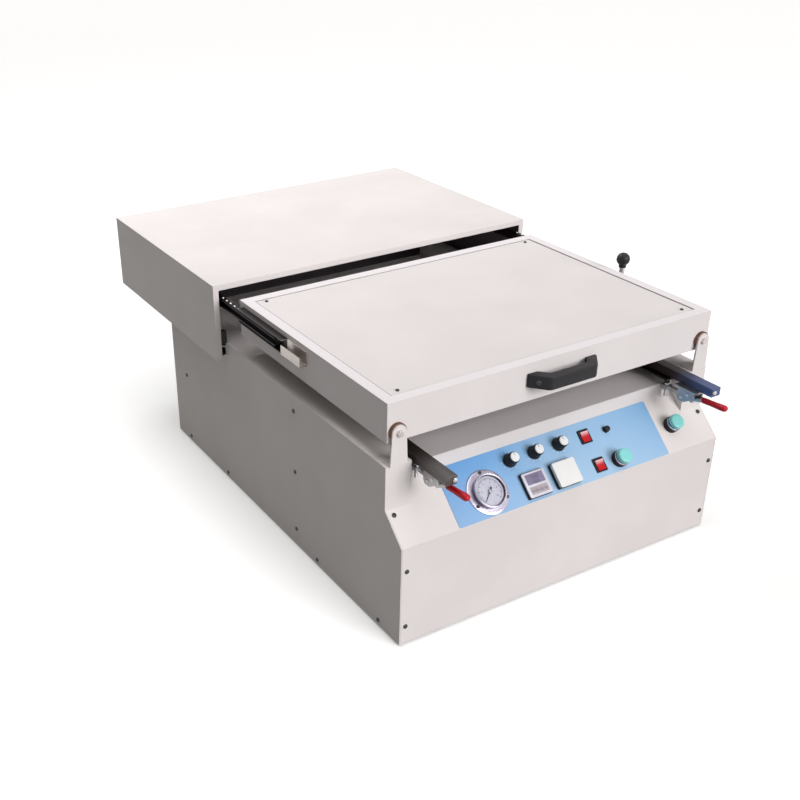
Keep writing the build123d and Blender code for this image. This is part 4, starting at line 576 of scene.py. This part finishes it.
def knobs():
    """Fluted black knobs with a white cap and a pointer, over a printed scale."""
    for k, at in enumerate(KNOBS_AT):
        name = f"knob_{k + 1}"
        face = on_face(at)
        grid = bmesh.new()
        lathed(grid, [(7.4, 0.8), (11.6, 0.8), (12.0, 1.2), (12.0, 3.6), (11.4, 4.6), (10.4, 5.4),
                      (9.9, 17.6), (9.2, 19.0), (8.4, 19.4), (0.5, 19.4)], steps=108, ridges=18, ridge=0.28)
        body = mesh_piece(name + "_body", grid, MATERIALS["instrument_black"], name, face)
        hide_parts(name)
        grid = bmesh.new()
        lathed(grid, [(8.3, 19.0), (8.3, 20.3), (7.7, 20.9), (4.0, 21.2), (0.4, 21.2)], steps=48)
        mesh_piece(name + "_cap", grid, CAP_WHITE, name, face)
        grid = bmesh.new()
        prism(grid, bar_outline((0, 2.6), (0, 8.0), 1.1), 20.6, 21.35, 0.15)
        mesh_piece(name + "_pointer", grid, KEYS, name, face)
        grid = bmesh.new()
        for step in range(11):
            turn = 240 - 30 * step
            outer = 16.4 if step % 5 else 17.4
            prism(grid, bar_outline(polar(14.0, turn), polar(outer, turn), 0.6), -0.02, 0.06)
        mesh_piece(name + "_scale", grid, WHITE_INK, "cabinet", face)


def push_buttons():
    """Mint caps on black collars with a bright ring, and the small black reset button."""
    for name, at, seat in (("start_button", START_BUTTON_AT, 0.0),
                           ("side_button", SIDE_BUTTON_AT, -OVERLAY_T)):
        face = on_face(at)
        grid = bmesh.new()
        lathed(grid, [(11, -14), (11, seat), (14.2, seat), (14.5, seat + 0.3), (14.5, 9.4), (14.0, 10.0),
                      (8.3, 10.0), (8.3, -10)], steps=64)
        lathed(grid, [(12, -40), (12, -14), (1, -14)], steps=4)
        collar = mesh_piece(name + "_collar", grid, MATERIALS["instrument_black"], "cabinet", face)
        if name == "start_button":
            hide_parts("button_housings")
        grid = bmesh.new()
        lathed(grid, [(8.4, 9.9), (14.0, 9.9), (14.0, 11.4), (13.5, 12.0), (8.4, 12.0)], steps=64)
        mesh_piece(name + "_ring", grid, MATERIALS["gauge_chrome"], "cabinet", face)
        grid = bmesh.new()
        lathed(grid, [(8, -6), (8, 14.5), (13.0, 14.5), (13.5, 15.0), (13.5, 20.4), (13.0, 21.6),
                      (11.8, 22.4), (7.0, 22.5), (0.5, 22.1)], steps=64)
        cap = mesh_piece(name + "_cap", grid, MATERIALS["mint_green"], name, face)
        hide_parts(name)
    grid = bmesh.new()
    lathed(grid, [(4.5, -20), (4.5, 0), (6.2, 0), (6.5, 0.3), (6.5, 2.1), (6.1, 2.5), (2.8, 2.5), (2.8, -12)],
           steps=6)
    mesh_piece("reset_nut", grid, MATERIALS["instrument_black"], "cabinet", on_face(RESET_BUTTON_AT))


def unlit_figures(name, width, height, centre):
    """Three seven-segment figures with every bar unlit, on the controller's window."""
    w, h = width / 2 * 0.86, height / 2 * 0.92
    bars = [((-w, h), (w, h)), ((w, h), (w, 0)), ((w, 0), (w, -h)), ((-w, -h), (w, -h)),
            ((-w, 0), (-w, -h)), ((-w, h), (-w, 0)), ((-w, 0), (w, 0))]
    grid = bmesh.new()
    for k in (-1, 0, 1):
        x, y = centre[0] + k * width * 1.35, centre[1]
        for (x0, y0), (x1, y1) in bars:
            prism(grid, bar_outline((x + x0, y + y0), (x + x1, y + y1), width * 0.2), 8.05, 8.3)
    mesh_piece(name, grid, SEGMENT, "cabinet", on_face(CONTROLLER_AT))


def collar_grid(layer, top, depth):
    """Panel collar in two layers with a groove between them, over a body that goes behind the panel."""
    grid = bmesh.new()
    prism(grid, rounded_rectangle(48, 44, 2.0), 0, layer, 0.4)
    prism(grid, rounded_rectangle(46.2, 42.2, 1.4), layer - 0.2, layer + 0.8, 0.2)
    prism(grid, rounded_rectangle(48, 44, 2.0), layer + 0.6, top, 0.4)
    prism(grid, rounded_rectangle(45, 41, 0.5), -depth, 0.2)
    return grid


def instruments():
    """Panel meters: a silver-faced controller with its display, and a plain white counter."""
    black = MATERIALS["instrument_black"]
    face = on_face(CONTROLLER_AT)
    case = mesh_piece("controller_case", collar_grid(2.4, 5.4, 60), black, "cabinet", face)
    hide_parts("temperature_controller")
    grid = bmesh.new()
    prism(grid, rounded_rectangle(46.4, 42.4, 2.4), 5.0, 7.8, 0.8)
    mesh_piece("controller_face", grid, SILVER_FACE, "cabinet", face)
    grid = bmesh.new()
    prism(grid, rounded_rectangle(36, 18, 1.0, (0, 9)), 7.6, 8.1, 0.2)
    mesh_piece("controller_window", grid, WINDOW, "cabinet", face)
    grid = bmesh.new()
    prism(grid, rounded_rectangle(36, 13, 1.0, (0, -10.5)), 7.6, 7.95, 0.15)
    mesh_piece("controller_key_field", grid, KEY_FIELD, "cabinet", face)
    unlit_figures("controller_reading", 4.6, 6.4, (0, 12))
    unlit_figures("controller_setting", 3.6, 5.0, (0, 3.6))
    grid = bmesh.new()
    for k in range(4):
        prism(grid, rounded_rectangle(6.4, 4.2, 1.2, (-12.9 + 8.6 * k, -11.5)), 7.6, 8.6, 0.4)
    mesh_piece("controller_keys", grid, KEYS, "cabinet", face)
    face = on_face(COUNTER_AT)
    collar = mesh_piece("counter_collar", collar_grid(3.0, 6.4, 40), black, "cabinet", face)
    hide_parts("cycle_counter")
    grid = bmesh.new()
    prism(grid, rounded_rectangle(47, 43, 1.6), 6.2, 12.0, 0.7)
    mesh_piece("counter_cover", grid, MATERIALS["counter_white"], "cabinet", face)


# ---- fasteners --------------------------------------------------------------------------------------
def screw_head(grid, place, radius=4.0, height=2.2):
    """A pan head with a cross recess, added to grid; place maps millimetres with +Z out of the surface."""
    head = bmesh.new()
    arm, slim, deep = radius * 0.55, radius * 0.13, height * 0.45
    steps = 32
    top = lathed(head, [(radius, 0.0), (radius, height * 0.35), (radius * 0.93, height * 0.7),
                        (radius * 0.74, height * 0.93), (radius * 0.62, height)], steps, capped=False)[-1]
    cross = [(arm, -slim), (arm, slim), (slim, slim), (slim, arm), (-slim, arm), (-slim, slim), (-arm, slim),
             (-arm, -slim), (-slim, -slim), (-slim, -arm), (slim, -arm), (slim, -slim)]
    rim = [head.verts.new((x, y, height)) for x, y in cross]
    base = [head.verts.new((x * 0.8, y * 0.8, height - deep)) for x, y in cross]
    corners = len(cross)
    for k in range(corners):
        n = (k + 1) % corners
        head.faces.new((rim[n], rim[k], base[k], base[n]))
    head.faces.new(base)
    rim_edges = [head.edges.get((rim[k], rim[(k + 1) % corners])) for k in range(corners)]
    top_edges = [head.edges.get((top[k], top[(k + 1) % steps])) for k in range(steps)]
    bmesh.ops.triangle_fill(head, use_beauty=True, edges=rim_edges + top_edges, normal=(0, 0, 1))
    head.transform(place)
    carrier = bpy.data.meshes.new("head")
    head.to_mesh(carrier)
    head.free()
    grid.from_mesh(carrier)
    bpy.data.meshes.remove(carrier)


def facing(place, out, up=(0, 0, 1)):
    """Matrix from millimetres at a point, with +Z pointing out of a surface."""
    z = Vector(out).normalized()
    x = Vector(up).cross(z)
    x = x.normalized() if x.length > 1e-6 else Vector((1, 0, 0))
    turn = Matrix((x, z.cross(x), z)).transposed().to_4x4()
    return Matrix.Translation(Vector(place)) @ turn @ Matrix.Scale(MM, 4)


def at_depth(x, y, z):
    """A point given in millimetres, its depth counted from the front face."""
    return Vector((x * MM, FRONT_Y + y * MM, z * MM))


def gauge_screws():
    """Centres of the three screws in the gauge's flange, on the control face."""
    return [(GAUGE_AT[0] + x, GAUGE_AT[1] + y) for x, y in (polar(34, 90 + 120 * k) for k in range(3))]


def screws():
    """Every cross-head screw of the case and of the heater's lid."""
    grid = bmesh.new()
    for side in (-1, 1):
        for y, z in SIDE_SCREWS_AT:
            screw_head(grid, facing(at_depth(side * CABINET_HALF_W, y, z), (side, 0, 0)))
    for x, z in FRONT_SCREWS_AT:
        screw_head(grid, facing(at_depth(x, 0, z), (0, -1, 0)))
    for x, z in REAR_SCREWS_AT:
        screw_head(grid, facing(at_depth(x, CABINET_D, z), (0, 1, 0)))
    for at in SLOPE_SCREWS_AT:
        screw_head(grid, on_face(at, -OVERLAY_T))
    for at in gauge_screws():
        screw_head(grid, on_face(at, 2.0), radius=3.0, height=2.0)
    case = mesh_piece("case_screw_heads", grid, SCREW_DARK, "cabinet", smooth=30)
    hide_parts("case_screws")
    grid = bmesh.new()
    low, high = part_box("heater_screws")
    for x in (low.x + 4 * MM, high.x - 4 * MM):
        for y in (low.y + 4 * MM, high.y - 4 * MM):
            screw_head(grid, facing((x, y, high.z - 2.2 * MM), (0, 0, 1), (0, 1, 0)), radius=3.2)
    lid = mesh_piece("lid_screw_heads", grid, SCREW_DARK, "heater", smooth=30)
    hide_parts("heater_screws")


# ---- clamps, handle and lever -----------------------------------------------------------------------
def sideways(x):
    """Matrix for pieces drawn in millimetres as (depth, height, across) centred at x."""
    turn = Matrix(((0, 0, 1), (1, 0, 0), (0, 1, 0))).to_4x4()
    return Matrix.Translation((x * MM, FRONT_Y, 0)) @ turn @ Matrix.Scale(MM, 4)


def slot_outline(start, end, radius, steps=10):
    """Outline of a flat link with round ends."""
    base = math.atan2(end[1] - start[1], end[0] - start[0])
    points = []
    for centre, first in ((end, base - math.pi / 2), (start, base + math.pi / 2)):
        for k in range(steps + 1):
            turn = first + math.pi * k / steps
            points.append((centre[0] + radius * math.cos(turn), centre[1] + radius * math.sin(turn)))
    return points


def thread(grid, centre, radius, low, high, pitch=1.0):
    """A threaded rod: rings that follow the thread's crests and roots."""
    profile = [(radius * 0.8, low)]
    height = low
    while height < high - pitch:
        profile += [(radius, height + pitch * 0.45), (radius, height + pitch * 0.55),
                    (radius * 0.84, height + pitch)]
        height += pitch
    profile.append((radius * 0.8, high))
    lathed(grid, profile, steps=20, centre=centre)


def hexagon(radius, centre=(0.0, 0.0)):
    """Outline of a hexagon nut."""
    return [(centre[0] + x, centre[1] + y) for x, y in (polar(radius, 60 * k) for k in range(6))]


HANDLE_PIVOT, LINK_PIN, HANDLE_ROOT = (6, 280), (6.45, 284.52), (-14, 289.6)
GRIP_START, GRIP_END = (-13, 289.5), (-59.5, 293.5)
BASE_RIVETS = ((22, 283), (10, 292))
SPINDLE_DEPTH = 68


def toggle_clamps():
    """The pull-down toggles under the arms: stamped links, rivets, threaded spindle, dipped red grips.

    Plates are drawn in millimetres as (depth, height), and lathed pieces stand along their own axis.
    """
    zinc, ground = MATERIALS["zinc_steel"], MATERIALS["ground_steel"]
    for side, name in ((-1, "left"), (1, "right")):
        x = side * CLAMP_X
        across = sideways(x)
        handle_body, bar_body = f"clamp_handle_{name}", f"clamp_bar_{name}"
        grid = bmesh.new()
        for hand in (-1, 1):
            near, far = sorted((hand * 3.4, hand * 5.4))
            prism(grid, slot_outline(HANDLE_PIVOT, LINK_PIN, 3.2), near, far, 0.25)
            prism(grid, slot_outline(LINK_PIN, HANDLE_ROOT, 3.2), near, far, 0.25)
        metal = mesh_piece(handle_body + "_plates", grid, zinc, handle_body, across)
        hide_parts(handle_body)
        grid = bmesh.new()
        lathed(grid, [(3.6, 0), (5.0, 0.8), (5.6, 3), (6.0, 8), (5.7, 20), (6.1, 32), (6.5, 40), (6.5, 46.5),
                      (6.2, 49.2), (5.2, 51.3), (3.6, 52.6), (1.6, 53.1), (0.3, 53.2)], steps=32)
        grid.transform(Matrix.Scale(0.86, 4, (1, 0, 0)))
        start = at_depth(x, *GRIP_START)
        run = at_depth(x, *GRIP_END) - start
        mesh_piece(handle_body + "_grip", grid, MATERIALS["vinyl_grip"], handle_body,
                   facing(start, run, (1, 0, 0)), smooth=60)
        grid = bmesh.new()
        prism(grid, [(2.6, 277.6), (9, 276.8), (17, 278), (60, 278.6), (60, 286), (18, 286.4), (14, 284.4),
                     (9.4, 282.4), (2.6, 281.2)], -3, 3, 0.4)
        prism(grid, [(58, 279), (74.5, 279), (74.5, 286), (58, 286)], -7, 7, 0.6)
        prism(grid, slot_outline(HANDLE_PIVOT, (6, 280.01), 1.4), -6.0, 6.0, 0.2)
        bar = mesh_piece(bar_body + "_plate", grid, zinc, bar_body, across)
        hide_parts(bar_body)
        upright = Matrix.Translation(at_depth(x, SPINDLE_DEPTH, 0)) @ Matrix.Scale(MM, 4)
        grid = bmesh.new()
        thread(grid, (0, 0), 3.0, 263, 291)
        prism(grid, hexagon(5.2), 286, 289, 0.4)
        prism(grid, hexagon(5.2), 275.5, 279, 0.4)
        mesh_piece(bar_body + "_spindle", grid, ground, bar_body, upright, smooth=25)
        grid = bmesh.new()
        lathed(grid, [(3.2, 289.6), (4.6, 290), (5, 291), (4.6, 295.6), (3.8, 296.7), (0.4, 296.8)], steps=32)
        mesh_piece(bar_body + "_tip", grid, MATERIALS["black_rubber"], bar_body, upright,
                   smooth=60)
        grid = bmesh.new()
        for depth, height in BASE_RIVETS:
            for hand in (-1, 1):
                near, far = sorted((hand * 12.0, hand * 13.6))
                prism(grid, slot_outline((depth, height), (depth + 0.01, height), 3.4), near, far, 0.6)
        mesh_piece(f"clamp_rivets_{name}", grid, ground, "cabinet", across)
        grid = bmesh.new()
        for px, py in ((-9, 0), (9, 0), (-9, 28), (9, 28)):
            prism(grid, hexagon(3.6, (px, py)), 297.6, 300, 0.3)
        mesh_piece(f"clamp_nuts_{name}", grid, ground, "cabinet",
                   Matrix.Translation(at_depth(x, 0, 0)) @ Matrix.Scale(MM, 4))
        grid = bmesh.new()
        prism(grid, hexagon(4.4), 0, 2.6, 0.4)
        lathed(grid, [(2.4, 2.0), (2.4, 3.6), (1.8, 4.2), (0.4, 4.2)], steps=20)
        tip = Vector((side * ARM_X * MM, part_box("upper_frame")[0].y, ARM_Z * MM))
        mesh_piece(f"arm_tip_bolt_{name}", grid, ground, "cabinet", facing(tip, (0, -1, 0)),
                   smooth=25)


def heater_handle():
    """Black moulded bridge handle with thick rounded legs and a screw in each foot."""
    level = Matrix.Translation(at_depth(0, 0, 0)) @ Matrix.Scale(MM, 4)
    grid = bmesh.new()
    outline = [(-71, 52.7), (-71, 48.2), (-50, 22.5), (-45, 20.0), (45, 20.0), (50, 22.5), (71, 48.2),
               (71, 52.7), (50, 52.7), (50, 47.0), (39, 35.0), (36, 33.6), (-36, 33.6), (-39, 35.0),
               (-50, 47.0), (-50, 52.7)]
    prism(grid, outline, 376, 399, 2.0)
    body = mesh_piece("heater_handle_moulding", grid, MATERIALS["instrument_black"], "heater", level,
                      smooth=35)
    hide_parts("heater_handle")
    grid = bmesh.new()
    for side in (-1, 1):
        screw_head(grid, facing(at_depth(side * 60.5, 35.4, 387.5), (side * 0.774, -0.633, 0)), 4.2, 1.6)
    mesh_piece("heater_handle_screws", grid, SCREW_DARK, "heater")


def lever():
    """Black ball on the steel lever, with its threaded collar."""
    upright = Matrix.Translation(at_depth(350, 285, 437)) @ Matrix.Scale(MM, 4)
    radius = 12.5
    grid = bmesh.new()
    ball = [polar(radius, angle) for angle in range(-56, 88, 6)]
    lathed(grid, [(5.2, -16.0), (7.0, -15.6), (7.0, -10.5)] + ball + [(0.3, radius)], steps=64)
    knob = mesh_piece("lever_ball", grid, MATERIALS["instrument_black"], "lever", upright,
                      smooth=60)
    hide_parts("ball_knob")


# ---- light and camera ------------------------------------------------------------------------------
def seen_directly(tree):
    """1 for rays from the camera, off gloss or through glass, 0 for rays that only carry light."""
    path = tree.nodes.new("ShaderNodeLightPath")
    total = path.outputs["Is Camera Ray"]
    for kind in ("Is Glossy Ray", "Is Transmission Ray"):
        either = tree.nodes.new("ShaderNodeMath")
        either.operation = "MAXIMUM"
        tree.links.new(total, either.inputs[0])
        tree.links.new(path.outputs[kind], either.inputs[1])
        total = either.outputs[0]
    return total


SUNS = (                        # name, strength, angle it fills in degrees, direction towards it
    ("soft_sun", 2.12, 36, (0.3, -0.87, 0.4)),
    ("front_fill", 0.25, 60, (0.0, -0.97, 0.24)),
    ("top_sun", 0.76, 50, (0.0, -0.1, 0.995)),
)
SURROUND, SURROUND_STRENGTH = (1.0, 0.985, 0.92, 1), 0.185      # light of the world on the part
FLOOR_RETURN = 0.24             # share of the light that the floor throws back on the part
FLOOR_GLOW = 0.28               # brings the lit floor to white where it is seen
WHITE = (1, 1, 1, 1)


def hang(name, lamp):
    """Adds a lamp to the scene."""
    holder = bpy.data.objects.new(name, lamp)
    bpy.context.collection.objects.link(holder)
    return holder


def studio():
    """A broad sun from the right front, weak ones in front and above, a lamp behind, a white surround."""
    for name, energy, spread, direction in SUNS:
        sun = bpy.data.lights.new(name, "SUN")
        sun.energy = energy
        sun.angle = math.radians(spread)
        sun.color = (1.0, 0.985, 0.985)
        hang(name, sun).rotation_euler = Vector(direction).to_track_quat("Z", "Y").to_euler()
    disk = bpy.data.lights.new("back_lamp", "AREA")
    disk.energy = 29
    disk.shape = "DISK"
    disk.size = 1.2
    lamp = hang("back_lamp", disk)
    lamp.location = (-0.3, 1.6, 2.4)
    lamp.rotation_euler = (lamp.location - Vector((0, 0.3, 0.4))).to_track_quat("Z", "Y").to_euler()
    world = bpy.data.worlds.new("studio")
    bpy.context.scene.world = world
    world.use_nodes = True
    tree = world.node_tree
    soft = tree.nodes["Background"]
    soft.inputs["Color"].default_value = SURROUND
    soft.inputs["Strength"].default_value = SURROUND_STRENGTH
    white = tree.nodes.new("ShaderNodeBackground")
    white.inputs["Color"].default_value = WHITE
    white.inputs["Strength"].default_value = 1.0
    mix = tree.nodes.new("ShaderNodeMixShader")
    tree.links.new(seen_directly(tree), mix.inputs["Fac"])
    tree.links.new(soft.outputs["Background"], mix.inputs[1])
    tree.links.new(white.outputs["Background"], mix.inputs[2])
    tree.links.new(mix.outputs["Shader"], tree.nodes["World Output"].inputs["Surface"])


def floor():
    """White card that keeps the shadow and throws back little light."""
    mesh = bpy.data.meshes.new("floor")
    grid = bmesh.new()
    bmesh.ops.create_grid(grid, x_segments=8, y_segments=8, size=12.0)
    grid.to_mesh(mesh)
    grid.free()
    piece = bpy.data.objects.new("floor", mesh)
    piece.location.z = -0.2 * MM
    bpy.context.collection.objects.link(piece)
    card = Surface("floor_card", (0.95, 0.95, 0.95), 0.9, mottle=0.005, edge=0)
    seen = seen_directly(card.tree)
    card.link(card.mix(seen, (FLOOR_RETURN,) * 3 + (1.0,), card.base), "Base Color")
    card.bsdf.inputs["Emission Color"].default_value = WHITE
    card.link(card.math("MULTIPLY", seen, FLOOR_GLOW), "Emission Strength")
    mesh.materials.append(card.material)


def camera():
    """The photograph's view, from a fit to the machine's corners."""
    right = Vector((0.866783, -0.498383, -0.017361))
    down = Vector((-0.251976, -0.407661, -0.877679))
    ahead = Vector((0.430343, 0.765132, -0.478934))
    picture, focal = 800, 1105.9                # pixels
    axis_x, axis_y = 310, 430                   # pixel that the lens points at
    data = bpy.data.cameras.new("camera")
    data.sensor_width = 36.0
    data.lens = focal / picture * data.sensor_width
    data.shift_x = (picture / 2 - axis_x) / picture
    data.shift_y = (axis_y - picture / 2) / picture
    data.clip_start, data.clip_end = 0.05, 40
    eye = bpy.data.objects.new("camera", data)
    turn = Matrix((right, -down, -ahead)).transposed().to_4x4()
    eye.matrix_world = Matrix.Translation((-1.1441, -1.1510 + FRONT_Y, 1.1648)) @ turn
    bpy.context.collection.objects.link(eye)
    bpy.context.scene.camera = eye


gauge()
knobs()
push_buttons()
instruments()
screws()
toggle_clamps()
heater_handle()
lever()
studio()
floor()
camera()
bpy.context.scene.view_settings.view_transform = "Standard"

bpy.context.view_layer.update()
